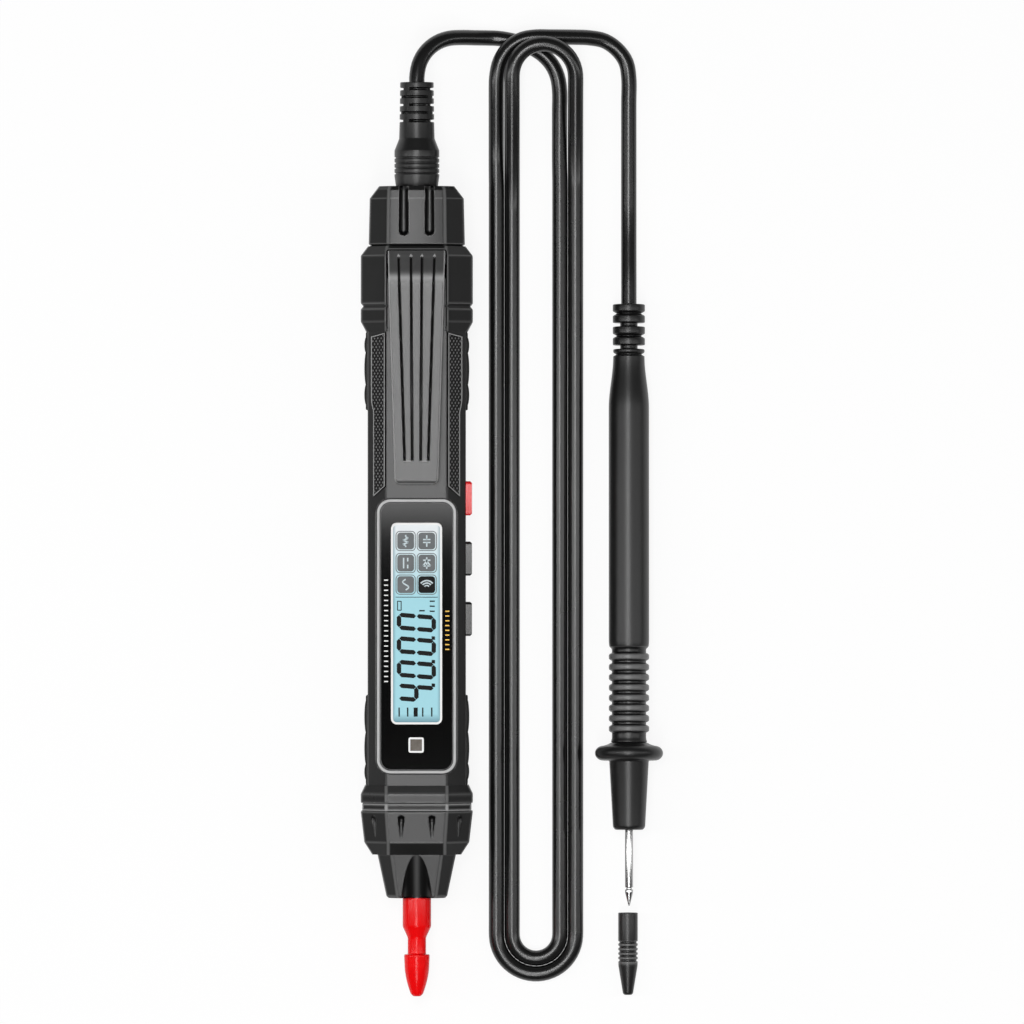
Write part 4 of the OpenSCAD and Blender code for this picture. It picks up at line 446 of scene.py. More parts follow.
CAP_X, CAP_Y, CAP_R, CAP_GROOVE_R, CAP_BORE = 51.8 * MM, -99.15 * MM, 2.4, 2.1, 1.03
CAP_GROOVES, CAP_PITCH = 5, 1.1
groove_shape = ((0, CAP_R), (0.1, CAP_GROOVE_R), (0.5, CAP_GROOVE_R), (0.6, CAP_R))
cap_rows = eased([[0, 0], [0, 0.88], [0.4, 1.25], [7.1, 2.35],
                  *([8.2 + i * CAP_PITCH + s, r] for i in range(CAP_GROOVES) for s, r in groove_shape),
                  [20.2, CAP_R], [20.2, CAP_BORE], [4.4, CAP_BORE], [1.2, 0.33], [1.2, 0]], 0.2)
# Painted highlights on the cap's ribs, painted shade in its grooves.
turned("loose_probe_cap", "probe_cap", cap_rows, 64, lambda sheet: sheet + np.array([CAP_X, CAP_Y, CAP_R * MM]),
       "probe_cap", moulded_black, "moulded", 50, rings=(8, 13.3, CAP_GROOVE_R, 2.38))

# %% [markdown]
# ## Plug
# The plug's boot ends in a strain relief: five slots cut nearly all round, each leaving two bridges, and the
# bridges turn from slot to slot so that the boot bends every way. The slots are taken out of the radius by a
# function of length and angle. The grip in front of it has four fine rings.

# %% Plug boot
PLUG_Y, EXIT_Y, PLUG_R = 98.15, 124.75, 5.5
RINGS, RING_PITCH, RELIEF_ROWS = 4, 1.27, 90
SLOT_PITCH, SLOT_CORE, SLOT_MIDDLE, SLOT_REACH, SLOT_EDGE = 1.95, 2.55 * MM, 0.31, 1.6, 0.2
BRIDGE_AT, BRIDGE_HALF, BRIDGE_EDGE = 4.1, 1.0, 0.35
turns = np.radians([-50, 35, -50, 35, -50])
slots = [EXIT_Y - SLOT_PITCH * (i + 1) for i in range(len(turns))]


def slotted(y, r, a):
    """Radius cut down to the core inside each slot, except near the two bridges of that slot."""
    depth = np.zeros_like(r)
    for start, turn in zip(slots, turns):
        along = np.clip(SLOT_REACH - abs(y / MM - start - SLOT_MIDDLE) / SLOT_EDGE, 0, 1)
        around = np.clip((abs(np.sin(a - turn)) * BRIDGE_AT - BRIDGE_HALF) / BRIDGE_EDGE, 0, 1)
        depth = np.maximum(depth, along * around)
    return r - depth * np.maximum(r - SLOT_CORE, 0)


ring_shape = ((0, PLUG_R), (0.03, 5.2), (0.32, 5.2), (0.35, PLUG_R))
rings = [[PLUG_Y + 4.1 + i * RING_PITCH + s, r] for i in range(RINGS) for s, r in ring_shape]
boot_rows = [[PLUG_Y + 3.6, 0], [PLUG_Y + 3.6, 2.05], [PLUG_Y, 2.05], [PLUG_Y, 4.9], [PLUG_Y + 0.1, 5],
             [PLUG_Y + 3.6, PLUG_R], *rings, [PLUG_Y + 9.9, PLUG_R], [PLUG_Y + 12.8, 4.35], [PLUG_Y + 16.3, 4.25]]
sleeve = np.linspace([PLUG_Y + 16.4, 4.25], [EXIT_Y - 0.1, 4.1], RELIEF_ROWS)
boot_profile = np.concatenate([eased(boot_rows, 0.15), sleeve * MM, np.array([[EXIT_Y, 4.0], [EXIT_Y, 0]]) * MM])
boot = turned("plug_grip", "plug_boot", boot_profile, 96, on_pen, "lead", moulded_black, "moulded", 55, slotted)

# %% [markdown]
# ## Red needle cap
# A soft glossy sleeve over the measuring needle: a barrel, a short cone, a neck, and a barb that tapers to a
# blunt end, all one profile. Its bore is part of the same profile, so that it can slide off the needle.

# %% Needle cap
TIP_Y, NOSE_Y, NECK_Y, BARB_R, BARREL_R, RED_BORE = -99.15, -74.95, -88.85, 3.05, 3.5, 1.05
needle_tip_y = TIP_Y + 2.1
t = np.linspace(1, 0, 12)[:-1]
ogive = np.stack([NOSE_Y - 16.35 - (NOSE_Y - 16.95 - TIP_Y) * t, BARB_R - 1.55 * t**1.8], -1).tolist()
red_rows = [[TIP_Y, 0], [TIP_Y, 0.9], *ogive, [NOSE_Y - 16.35, BARB_R], [NOSE_Y - 14.25, 3.15], [NECK_Y, BARB_R],
            [NECK_Y, 2.25], [NOSE_Y - 9.8, 2.25], [NOSE_Y - 7.1, BARREL_R], [NOSE_Y + 1.6, BARREL_R],
            [NOSE_Y + 1.6, RED_BORE], [needle_tip_y + 2.5, RED_BORE], [needle_tip_y, 0.25], [needle_tip_y, 0]]
turned("red_needle_cap", "needle_cap", eased(red_rows, 0.4, 5), 96, on_pen, "needle_cap", red_gloss, "red", 60)

# %% [markdown]
# ## Moulded shells
# The housing's halves, the battery door and the keys are mouldings whose solids are already right, pockets and
# ribs included. What they lack is the soft edge that catches light. Each copy's points are merged, its flat faces
# joined and its edges rounded by a bevel. That keeps every opening where the frame has it.


# %% Softened copies
def softened(name, source, body, look, width, steps=2, angle=28):
    """Copy of a solid with merged points and flat faces joined, its edges sharper than angle rounded to width mm."""
    mesh = NODES[source].data.copy()
    mesh.name = name
    mesh.materials.clear()
    mesh.materials.append(look)
    work = bmesh.new()
    work.from_mesh(mesh)
    bmesh.ops.remove_doubles(work, verts=work.verts, dist=2e-6)
    bmesh.ops.dissolve_limit(work, angle_limit=math.radians(1), verts=work.verts, edges=work.edges)
    work.to_mesh(mesh)
    work.free()
    mesh.shade_smooth()
    mesh.set_sharp_from_angle(angle=math.radians(angle))
    made = bpy.data.objects.new(name, mesh)
    bpy.context.scene.collection.objects.link(made)
    bevel = made.modifiers.new("soft_edges", "BEVEL")
    bevel.width, bevel.segments = width * MM, steps
    bevel.limit_method, bevel.angle_limit = "ANGLE", math.radians(angle)
    bevel.miter_outer = "MITER_ARC"
    flats = made.modifiers.new("flat_faces", "WEIGHTED_NORMAL")
    flats.weight, flats.keep_sharp = 80, True
    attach(made, body)
    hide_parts(source)
    return made


for name, source, look, width in (
        ("housing_front", "front_shell", satin_black, 0.16), ("housing_back", "back_shell", satin_black, 0.14),
        ("battery_cover", "battery_door", satin_black, 0.12)):
    softened(name, source, "pen", look, width)
for name, source, look, slot in (
        ("power_key", "power_button", red_key, "red_button"), ("hold_key", "hold_button", key_black, "key"),
        ("select_key", "select_button", key_black, "key")):
    softened(name, source, source, look, 0.4, 4)
print("softened copies: 6")

# %% [markdown]
# ## Slabs
# Pads, grips and the clip are thin bodies with a shaped face: two sheets with the same border, one above the
# other. Laying the second under the first, back to front, makes a closed sleeve, and pressing its first and
# last rows flat closes the ends.


# %% Slab helper
def slab(top, bottom):
    """Closed sleeve of a top sheet and a bottom sheet that have the same rows and columns."""
    sleeve = np.concatenate([top, bottom[:, ::-1]], 1)
    flat = np.concatenate([bottom, bottom[:, ::-1]], 1)
    return np.concatenate([flat[:1], sleeve, flat[-1:]])


def slab_paint(light_and_shade):
    """Paint for a slab: the painted light and shade of its top sheet, none on its bottom sheet."""
    return slab(light_and_shade, np.zeros_like(light_and_shade))


def ramp(value, low, high):
    """0 below low, 1 above high, and a smooth S between them."""
    t = np.clip((value - low) / (high - low), 0, 1)
    return t * t * (3 - 2 * t)


def round_edge(gap, radius):
    """How far a face drops near its border: a quarter circle of that radius, gap being the distance to the border."""
    near = np.clip(1 - gap / radius, 0, 1)
    return radius * (1 - np.sqrt(1 - near**2))


print("slab helper ready")

# %% [markdown]
# ## Clip
# The clip is a springy blade that rises out of the rear collar, bends, and runs down to a foot above the
# display. Its face carries four fine grooves that converge towards the foot, in two pairs with a sunken
# panel between them. The face is a sheet over the plan of the blade whose height is the side view minus the
# grooves; the grooves are also painted darker, because light hardly reaches into them, and painted
# highlights lie along the edges, across the bend and at the ends of the grooves.

# %% Clip
clip_low, clip_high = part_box("pocket_clip")
CLIP_FREE, CLIP_REAR = clip_low.y / MM, clip_high.y / MM
CLIP_TOP, CLIP_FALL, CLIP_BACK_FALL, CLIP_THICK = clip_high.z / MM, 1.3, 3.6, 1.8
CLIP_BEND, CLIP_FOOT_Z = CLIP_REAR - 6.65, clip_high.z / MM - 4.85
CLIP_HALF, CLIP_BEND_HALF, CLIP_END_HALF, CLIP_CORNER = clip_high.x / MM, 6.82, 5.3, 1.5
GROOVE_IN, GROOVE_OUT, GROOVE_AT = (1.03, 1.34), (2.89, 4.4), (32.3, 82.2)
GROOVE_START, GROOVE_STOP = CLIP_FREE + 5.6, CLIP_REAR - 1.2
GROOVE_DEPTH, GROOVE_FLAT, GROOVE_SLOPE, PANEL_DEPTH, BLEND = 0.95, 0.03, 0.33, 0.16, 2.5
SIDE_LIGHT, BEND_LIGHT, GLINT_LIGHT, CLIP_SIDE_R, CLIP_END_R = 0.75, 0.8, 0.9, 0.45, 1.1


def clip_face(y):
    """Height of the side view: down the ramp behind the bend, along the blade, and round the free end. The two
    slopes are joined by the logarithm of their summed exponentials, which rounds the bend."""
    blade = CLIP_TOP - CLIP_FALL * (CLIP_BEND - y) / (CLIP_BEND - CLIP_FREE)
    back = CLIP_TOP - CLIP_BACK_FALL * (y - CLIP_BEND) / (CLIP_REAR - CLIP_BEND)
    joined = -np.log(np.exp(-blade * BLEND) + np.exp(-back * BLEND)) / BLEND
    return joined - round_edge(y - CLIP_FREE, CLIP_END_R)


def clip_half_width(y):
    """Half width: straight tapers from root to bend to free end, whose corners are quarter circles."""
    taper = np.interp(y, [CLIP_FREE, CLIP_BEND, CLIP_REAR], [CLIP_END_HALF, CLIP_BEND_HALF, CLIP_HALF])
    return taper - round_edge(y - CLIP_FREE, CLIP_CORNER)


def grooves(x, y):
    """Depth from 0 to 1 of the four grooves, and of the two panels between them."""
    along = ramp(y, GROOVE_START, GROOVE_START + 0.5) * (1 - ramp(y, GROOVE_STOP - 0.6, GROOVE_STOP))
    share = (y - GROOVE_AT[0]) / (GROOVE_AT[1] - GROOVE_AT[0])
    inner, outer = (lines[0] + (lines[1] - lines[0]) * share for lines in (GROOVE_IN, GROOVE_OUT))
    off = np.minimum(abs(abs(x) - inner), abs(abs(x) - outer))
    panel = ramp(abs(x), inner - 0.1, inner) * (1 - ramp(abs(x), outer, outer + 0.1))
    panel = panel * ramp(y, GROOVE_START - 0.1, GROOVE_START + 0.15) * (1 - ramp(y, GROOVE_STOP - 0.3, GROOVE_STOP))
    return (1 - np.clip((off - GROOVE_FLAT) / GROOVE_SLOPE, 0, 1)) * along, panel


near_end = np.concatenate([np.linspace(0, 0.03, 16)[:-1], np.linspace(0.03, 1, 170)])
near_side = 1 - 0.06 * np.linspace(1, 0, 9)[1:] ** 2
y = CLIP_FREE + (CLIP_REAR - CLIP_FREE) * near_end[:, None]
s = np.concatenate([-near_side[::-1], np.linspace(-0.94, 0.94, 150), near_side])[None, :]
half = clip_half_width(y)
x = s * half
line, panel = grooves(x, y)
side_gap = half * (1 - abs(s))
z = clip_face(y) - GROOVE_DEPTH * line - PANEL_DEPTH * panel * (1 - line) - round_edge(side_gap, CLIP_SIDE_R)
# Painted highlights along the edges and across the bend, painted glints at both ends of the grooves.
light = SIDE_LIGHT * (1 - ramp(np.minimum(side_gap, y - CLIP_FREE), 0.12, 0.4))
light = light + BEND_LIGHT * np.exp(-(((y - CLIP_BEND) / 0.95) ** 2)) + 0 * x
end_glints = (abs(abs(x) - 2.0) < 1.15) * (abs(y - GROOVE_START + 0.1) < 0.16)
top_x = np.where(abs(x) < (GROOVE_IN[1] + GROOVE_OUT[1]) / 2, GROOVE_IN[1], GROOVE_OUT[1])
start_glints = np.hypot(abs(x) - top_x, y - GROOVE_STOP + 0.1) < 0.34
light = np.clip(light + GLINT_LIGHT * end_glints + GLINT_LIGHT * start_glints, 0, 1)
light_and_shade = np.where(start_glints, 1, light * (1 - line) - line)
blade_under = clip_face(y) - CLIP_THICK
foot = ramp(CLIP_FREE + 4.2 - y, 0, 2.4) * (blade_under - CLIP_FOOT_Z)
under = blade_under - foot + 0 * x
root = np.minimum(under, blade_under - 0.6 * ramp(y, CLIP_BEND, CLIP_REAR))
under = np.minimum(np.where(y > CLIP_BEND, root, under), z - 0.2)
top_sheet, bottom_sheet = (np.stack([x, y + 0 * x, height], -1) * MM for height in (z, under))
clip = grid("clip_blade", slab(top_sheet, bottom_sheet), "clip", clip_grey, sharp=45, paint=slab_paint(light_and_shade))
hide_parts("pocket_clip")
print("clip:", len(clip.data.polygons), "faces")

# %% [markdown]
# ## Diamond pads
# On each front facet lies a thin rubber pad with a smooth raised rim and rows of small diamond points. The
# diamonds come from two sets of slanted lines: the height is the smaller of two triangle waves.


# %% Diamond pads
PAD_LEN, PAD_HALF, PAD_STEP, PAD_STEP_AT, PAD_STEP_LEN = 40.2, 2.45, 0.75, 20.5, 4
PAD_SLANT, PAD_TOP_SLANT, PAD_PITCH, PAD_RELIEF, PAD_ROOT = 2.6, 0.9, 1.15, 0.24, -0.3
PAD_ROWS, PAD_COLUMNS, PAD_LIGHT, PAD_RIM_LIGHT, PAD_SHADE = 360, 64, 0.55, 0.8, 0.9
SLOPE = math.sqrt(0.5)
pad_low, pad_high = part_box("facet_pads")
pad_middle_x = pad_high.x / MM - (PAD_HALF + 0.05) * SLOPE
pad_middle_z = pad_high.z / MM - (PAD_HALF + 0.05) * SLOPE


def triangle(t):
    """Wave of straight slopes between 0 and 1 with period 1."""
    return abs(2 * (t - np.floor(t)) - 1)


def pad_sheet(side):
    """Slab of one pad on the facet at 45 degrees, side being +1 or -1, and its painted light and shade."""
    v, u = np.linspace(0, 1, PAD_ROWS)[:, None], np.linspace(0, 1, PAD_COLUMNS)[None, :]
    outer = PAD_HALF - PAD_STEP * (1 - ramp(v * PAD_LEN, PAD_STEP_AT, PAD_STEP_AT + PAD_STEP_LEN))
    x = -PAD_HALF + u * (outer + PAD_HALF)
    slant = PAD_SLANT * (1 - np.clip((x + PAD_HALF) / (2 * PAD_HALF - PAD_STEP), 0, 1))
    y = slant + v * (PAD_LEN - PAD_TOP_SLANT * np.clip(x + PAD_HALF, 0, 9) / (2 * PAD_HALF) - slant)
    border = np.minimum(np.minimum(x + PAD_HALF, outer - x), np.minimum(v, 1 - v) * PAD_LEN)
    p, q = x / PAD_PITCH, y / (PAD_PITCH * 1.25)
    points = np.minimum(triangle(p + q), triangle(p - q)) * ramp(border, 0.45, 0.6)
    rim = ramp(border, 0, 0.1) * (1 - ramp(border, 0.34, 0.46))
    z = 0.05 + PAD_RELIEF * np.maximum(points * 1.4, rim) - 0.1 * (1 - ramp(border, 0, 0.08))
    # Painted highlights on the diamond tips and on the rim, painted shade in the hollows between the diamonds.
    light_and_shade = np.maximum(PAD_LIGHT * ramp(points, 0.35, 0.85), PAD_RIM_LIGHT * rim)
    light_and_shade = light_and_shade - PAD_SHADE * (1 - ramp(points, 0.05, 0.25)) * (1 - rim)
    top, bottom = (np.stack([side * (pad_middle_x + (x + height) * SLOPE), pad_low.y / MM + y,
                             pad_middle_z + (height - x) * SLOPE], -1) * MM for height in (z, PAD_ROOT + 0 * x))
    return slab(top, bottom), slab_paint(light_and_shade)


for side, name in ((1, "pad_right"), (-1, "pad_left")):
    sleeve, light_and_shade = pad_sheet(side)
    pad = grid(name, sleeve, "pen", grip_rubber, sharp=50, paint=light_and_shade)
    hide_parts("facet_pads")
print("pads:", 2 * len(pad.data.polygons), "faces")

# %% [markdown]
# ## Side grips
# Soft rubber panels on the side flats, front and rear. Seen from above they swell in rounded lobes with a
# notch between them: the thickness is a smallest value plus the size of a sine, so the notches are sharp.


# %% Side grips
GRIP_ROOT, GRIP_LOBE, GRIP_LEAD, GRIP_HEIGHT, GRIP_ROWS, GRIP_COLUMNS = 0.45, 0.35, 0.7, 9.4, 190, 40
REAR_GRIP, FRONT_GRIP = (19.2, (0.325, 0.734)), (22.0, (0.232, 0.586))
grip_low, grip_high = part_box("side_grips")
grip_base = grip_high.x / MM - GRIP_ROOT - GRIP_LOBE


def side_grip(name, side, start, length, notches):
    """Slab on the side flat: half sine lobes between the notches, raised to a power so that they are full, and
    flattening to its rounded border."""
    v, u = np.linspace(0, 1, GRIP_ROWS)[:, None], np.linspace(0, 1, GRIP_COLUMNS)[None, :]
    y, z = start + v * length, AXIS_Z / MM + (u - 0.5) * GRIP_HEIGHT
    border = np.minimum(np.minimum(u, 1 - u) * GRIP_HEIGHT, np.minimum(v, 1 - v) * length)
    ends = np.array([2 * GRIP_LEAD / length, *notches, 1 - 2 * GRIP_LEAD / length])
    phase = np.interp(v, ends, np.arange(len(ends)))
    lobe = abs(np.sin(math.pi * phase)) ** 0.6
    thick = GRIP_ROOT + GRIP_LOBE * lobe - round_edge(border, 0.42)
    outer, inner = (np.stack([side * (grip_base + out), y + 0 * u, z + 0 * v], -1) * MM
                    for out in (np.maximum(thick, 0.02), 0 * thick))
    made = grid(name, slab(outer, inner), "pen", grip_rubber, sharp=50)
    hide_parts("side_grips")


for side, word in ((1, "right"), (-1, "left")):
    side_grip("grip_rear_" + word, side, grip_high.y / MM - REAR_GRIP[0], *REAR_GRIP)
    side_grip("grip_front_" + word, side, grip_low.y / MM, *FRONT_GRIP)
print("side grips: 4")

# %% [markdown]
# ## Display
# The screen lies under a glossy black window with a thin white line printed round it. What it shows is a
# seven-segment number, rows of small symbols in boxes and a few marks. Every shape on it is a flat plate a few
# hundredths of a millimetre thick. The number's bars are all the same six-cornered outline, turned, moved and
# leaned together as arrays.


# %% Printed and lit shapes
def tiles(name, outlines, look, layer):
    """Flat plates under outlines (plates, corners, 2), walls and two faces each. A layer is the height of its
    underside and its thickness in mm, and the slot, which is not used."""
    low, thick, slot = layer
    n, m = outlines.shape[:2]
    ends = [np.concatenate([outlines, np.full((n, m, 1), z)], -1) for z in (low, low + thick)]
    walls = ring_quads(2, m)
    turn = np.sum(np.cross(outlines, np.roll(outlines, -1, 1)), 1) > 0
    faces = []
    for k, ccw in enumerate(turn):
        base, top = k * 2 * m, list(range(k * 2 * m + m, k * 2 * m + 2 * m))
        faces += (walls + base if ccw else (walls + base)[:, ::-1]).tolist()
        faces += [top if ccw else top[::-1], list(range(base, base + m))[:: -1 if ccw else 1]]
    made = piece(name, (np.concatenate(ends, 1) * MM).reshape(-1, 3), faces, "pen", look)
    made.data.shade_flat()


def strokes(lines, width):
    """Outlines of straight strokes (x0, y0, x1, y1) of a width: the line pushed to both sides."""
    lines = np.array(lines, float)
    a, b = lines[:, :2], lines[:, 2:]
    ahead = (b - a) / np.linalg.norm(b - a, axis=1)[:, None]
    beside = np.stack([-ahead[:, 1], ahead[:, 0]], -1) * width / 2
    return np.stack([a - beside, b - beside, b + beside, a + beside], 1)


def box_line(size, radius, steps=7):
    """Rounded rectangle about the middle: each corner is a quarter circle, every other one run backwards."""
    a = np.radians(np.linspace(0, 90, steps))
    corner = np.stack([np.cos(a), np.sin(a)], -1) * radius
    half = np.array(size) / 2 - radius
    turns = (([1, 1], 1), ([-1, 1], -1), ([-1, -1], 1), ([1, -1], -1))
    return np.concatenate([(corner[::step] + half) * sign for sign, step in turns])


def frames(name, middles, size, radius, line, look, layer):
    """Line frames round rectangles: outer and inner outline, above and below, joined round all four."""
    low, thick, slot = layer
    outer, inner = box_line(size, radius), box_line(np.array(size) - 2 * line, max(radius - line, 0.05))
    m, high = len(outer), low + thick
    ring = np.stack([np.concatenate([o, np.full((m, 1), z)], 1)
                     for o, z in ((outer, low), (outer, high), (inner, high), (inner, low))])
    points = [(ring + [*middle, 0]).reshape(-1, 3) for middle in middles]
    faces = np.concatenate([ring_quads(4, m, True) + i * 4 * m for i in range(len(middles))])
    made = piece(name, np.concatenate(points) * MM, faces.tolist(), "pen", look)
    made.data.set_sharp_from_angle(angle=0.6)


print("print helpers ready")

# %% Screen and print finishes
screen_face = finish("screen_face", (0.5, 0.77, 0.87), (0.54, 0.81, 0.91), (0.2, 0.28), 0.1, depth=0)
ink = finish("screen_ink", 0.002, 0.004, (0.3, 0.4), 0.05, depth=0)
segment_grey = finish("segment_grey", (0.13, 0.14, 0.145), (0.17, 0.18, 0.185), (0.3, 0.4), 0.05, depth=0)
symbol_light = finish("symbol_light", (0.55, 0.64, 0.67), (0.6, 0.69, 0.72), (0.3, 0.4), 0.05, depth=0)
white_print = finish("white_print", (0.74, 0.74, 0.73), (0.8, 0.8, 0.79), (0.35, 0.45), depth=0.002)
amber_print = finish("amber_print", (0.9, 0.5, 0.01), (0.95, 0.54, 0.015), (0.35, 0.45), depth=0.002)
lens_brown = finish("lens_brown", (0.075, 0.06, 0.045), (0.11, 0.09, 0.07), (0.08, 0.14), patch=1.5, depth=0.002)

# The screen is a deep blue at its front end and fades towards its rear to a pale painted glare; it is darker
# along its border, a painted shade.
SCREEN_DEEP, SCREEN_GLARE, SCREEN_SHADE = (0.34, 0.64, 0.72, 1), (0.74, 0.78, 0.8, 1), (0.11, 0.24, 0.3, 1)
DEEP_UP_TO, GLARE_FROM, SIDE_BORDER, FRONT_BORDER = -2 * MM, 15 * MM, 1.1 * MM, 2.4 * MM
tree = screen_face.node_tree
screen_low, screen_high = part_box("lcd_glass")
half = (screen_high - screen_low) / 2
spot = node(tree, "TexCoord").outputs["Object"]
along = node(tree, "SeparateXYZ", spot).outputs["Y"]
rise = node(tree, "MapRange", along, **{"From Min": DEEP_UP_TO, "From Max": GLARE_FROM})
fade = node(tree, "ValToRGB", rise.outputs["Result"])
fade.color_ramp.elements[0].color, fade.color_ramp.elements[1].color = SCREEN_DEEP, SCREEN_GLARE
offset = node(tree, "VectorMath", spot, operation="SUBTRACT")
offset.inputs[1].default_value = (screen_low + screen_high) / 2
off = node(tree, "SeparateXYZ", offset.outputs[0])
off_x = node(tree, "Math", off.outputs["X"], operation="ABSOLUTE").outputs[0]
border_x = node(tree, "MapRange", off_x, **{"From Min": half.x - SIDE_BORDER, "From Max": half.x})
border_y = node(tree, "MapRange", off.outputs["Y"], **{"From Min": FRONT_BORDER - half.y, "From Max": -half.y})
border = node(tree, "Math", border_x.outputs[0], border_y.outputs[0], operation="MAXIMUM")
rim = node(tree, "Mix", border.outputs[0], data_type="RGBA")
link(tree, fade.outputs["Color"], rim.inputs[6])
rim.inputs[7].default_value = SCREEN_SHADE
link(tree, rim.outputs[2], tree.nodes["Principled BSDF"].inputs["Base Color"])
print("screen finishes ready")

# %% Number on the screen
SCREEN_Z, PANEL_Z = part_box("lcd_glass")[1].z / MM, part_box("display_panel")[1].z / MM
INK_T, PRINT_T = 0.03, 0.02
ON_SCREEN, ON_INK = (SCREEN_Z, INK_T, "screen"), (SCREEN_Z + INK_T, PRINT_T, "screen")
ON_PANEL = (PANEL_Z, PRINT_T, "panel")
PHOTO_AXIS, PHOTO_MIDDLE = 418.85, 591.7


def at(column, row):
    """Place on the pen, in mm, of a column and row of the photograph."""
    return np.array([(column - PHOTO_AXIS), (PHOTO_MIDDLE - row)]) * PIXEL / MM


DIGIT_H, DIGIT_W, BAR, DIGIT_PITCH, LEAN = 8.5, 3.12, 1.08, 5.76, math.radians(4.6)
DIGITS = {"0": "abcdef", "4": "bcfg"}
bar_places = {"a": (0.5, 1, 0), "b": (1, 0.75, 1), "c": (1, 0.25, 1), "d": (0.5, 0, 0), "e": (0, 0.25, 1),
              "f": (0, 0.75, 1), "g": (0.5, 0.5, 0)}


def bars(digit, start):
    """Outlines of a digit's bars: one six-cornered bar, long or short, upright or level, at each place."""
    made = []
    for key in DIGITS[digit]:
        x, y, upright = bar_places[key]
        end, side = (DIGIT_H / 2 if upright else DIGIT_W) / 2 - 0.06, BAR / 2
        tip = np.array([[-end, 0], [-end + side, side], [end - side, side], [end, 0], [end - side, -side],
                        [-end + side, -side]])
        made.append((tip[:, ::-1] if upright else tip) + [start + x * DIGIT_W, y * DIGIT_H])
    return np.array(made)


def on_screen(outlines, origin):
    """Reading direction to +Y and up to -X, leaned forward, with the origin at a place on the pen."""
    lean = outlines[..., 0] + outlines[..., 1] * math.tan(LEAN)
    return np.stack([origin[0] - outlines[..., 1], origin[1] + lean], -1)


number_origin = at(436.0, 700.6)
digits = np.concatenate([bars(d, i * DIGIT_PITCH) for i, d in enumerate("4000")])
tiles("screen_number", on_screen(digits, number_origin), ink, ON_SCREEN)
points = np.array([[i * DIGIT_PITCH + DIGIT_W + 0.75, 0.1] for i in range(3)])
square = np.array([[-0.42, -0.42], [0.42, -0.42], [0.42, 0.42], [-0.42, 0.42]])
tiles("screen_points", on_screen(points[:, None] + square, number_origin), ink, ON_SCREEN)
print("number: 4 digits,", len(digits), "bars")

# %% Symbols in boxes
BOX, FIELD, MARK_LINE = (4.9, 4.9), (4.1, 4.1), 0.34
box_middles = [at(c, r) for r in (541.0, 563.0, 584.5) for c in (408.0, 429.0)]
frames("symbol_boxes", box_middles, BOX, 1.0, 0.2, segment_grey, ON_SCREEN)
filled = box_line(FIELD, 0.8) + np.array(box_middles)[:, None]
tiles("symbol_fields", filled[:5], segment_grey, ON_SCREEN)
tiles("symbol_field_lit", filled[5:], ink, ON_SCREEN)
wave_x = np.linspace(-1.3, 1.3, 13)
arc = np.radians(np.linspace(-50, 50, 7))
symbols = [
    [[[-1.5, 0], [-1.1, 0], [-0.8, 0.7], [-0.3, -0.7], [0.2, 0.7], [0.7, -0.7], [1, 0], [1.5, 0]]],
    [[[-1.4, 0], [-0.35, 0]], [[0.35, 0], [1.4, 0]], [[-0.35, -0.9], [-0.35, 0.9]], [[0.35, -0.9], [0.35, 0.9]]],
    [[[-1.3, 0.5], [1.3, 0.5]], [[-1.3, -0.5], [-0.4, -0.5]], [[0.4, -0.5], [1.3, -0.5]]],
    [[[-1.4, 0], [1.4, 0]], [[0.7, -0.9], [0.7, 0.9]], [[-0.7, -0.9], [-0.7, 0.9], [0.6, 0], [-0.7, -0.9]]],
    [np.stack([wave_x, 0.75 * np.sin(wave_x * math.pi / 1.3)], -1)],
    [np.stack([r * np.cos(arc) - 0.9, r * np.sin(arc)], -1) for r in (0.7, 1.3, 1.9)]]
marks = []
for middle, drawing in zip(box_middles, symbols):
    for path in drawing:
        turned = np.array(path, float)[:, ::-1] * [-1, 1] + middle
        marks.append(np.concatenate([turned[:-1], turned[1:]], 1))
tiles("box_symbols", strokes(np.concatenate(marks), MARK_LINE), symbol_light, ON_INK)
print("symbols:", len(box_middles), "boxes")

# %% Marks and printed lines
low_marks = [[*at(c, 707), *at(c, 716)] for c in (401.5, 410, 418, 425, 434)]
unit_marks = [[*at(432, r), *at(437, r)] for r in (601, 606, 611)] + [[*at(421.5, 610.5), *at(427, 610.5)]]
tiles("screen_marks", strokes(low_marks[:2] + low_marks[3:] + unit_marks, MARK_LINE), ink, ON_SCREEN)
tiles("screen_bar", strokes([low_marks[2]], 1.0), ink, ON_SCREEN)
frames("battery_mark", [at(401.7, 605.5)], (1.1, 2.4), 0.15, 0.22, ink, ON_SCREEN)
tiles("screen_rule", strokes([[*at(398, 597), *at(440, 597)]], 0.16), ink, ON_SCREEN)
for name, low, high, radius, line in (("screen_line", at(393.4, 723.7), at(444.3, 523.0), 1.4, 0.5),
                                      ("sensor_line", at(410.8, 752.0), at(426.1, 736.7), 0.5, 0.45)):
    frames(name, [(low + high) / 2], high - low, radius, line, white_print, ON_PANEL)
for name, left, right, rows, look in (("white_scale", 386.5, 390.5, np.linspace(580, 681, 21), white_print),
                                      ("amber_scale", 447.5, 451.5, np.linspace(611, 649, 9), amber_print)):
    tiles(name, strokes([[*at(left, r), *at(right, r)] for r in rows], 0.28), look, ON_PANEL)
print("marks and lines ready")

# %% [markdown]
# ## Lofted collars, cap and nose
# The pen's section has eight flats, with 45 degree facets between front, sides and back. Collars, end cap
# and nose are that section again and again along the pen, wider or narrower. A row is (station, width, depth,
# flat, corner); the outline of a row is eight corners, each a short curve, with extra points on the flats. A
# bore is the same kind of row inside, and a circle is the row whose corners are so round that no flat is
# left. The clip's slot, the flutes, the drops and the scoops are then pressed into the finished sheet. Corners
# and ridges get painted highlights, hollows and inward turns painted shade.

# %% Loft helper
CORNER_CUT, CORNER_POINTS, SHORTEST_FLAT, FAINT = math.tan(math.radians(22.5)), 7, 0.4999, 0.02


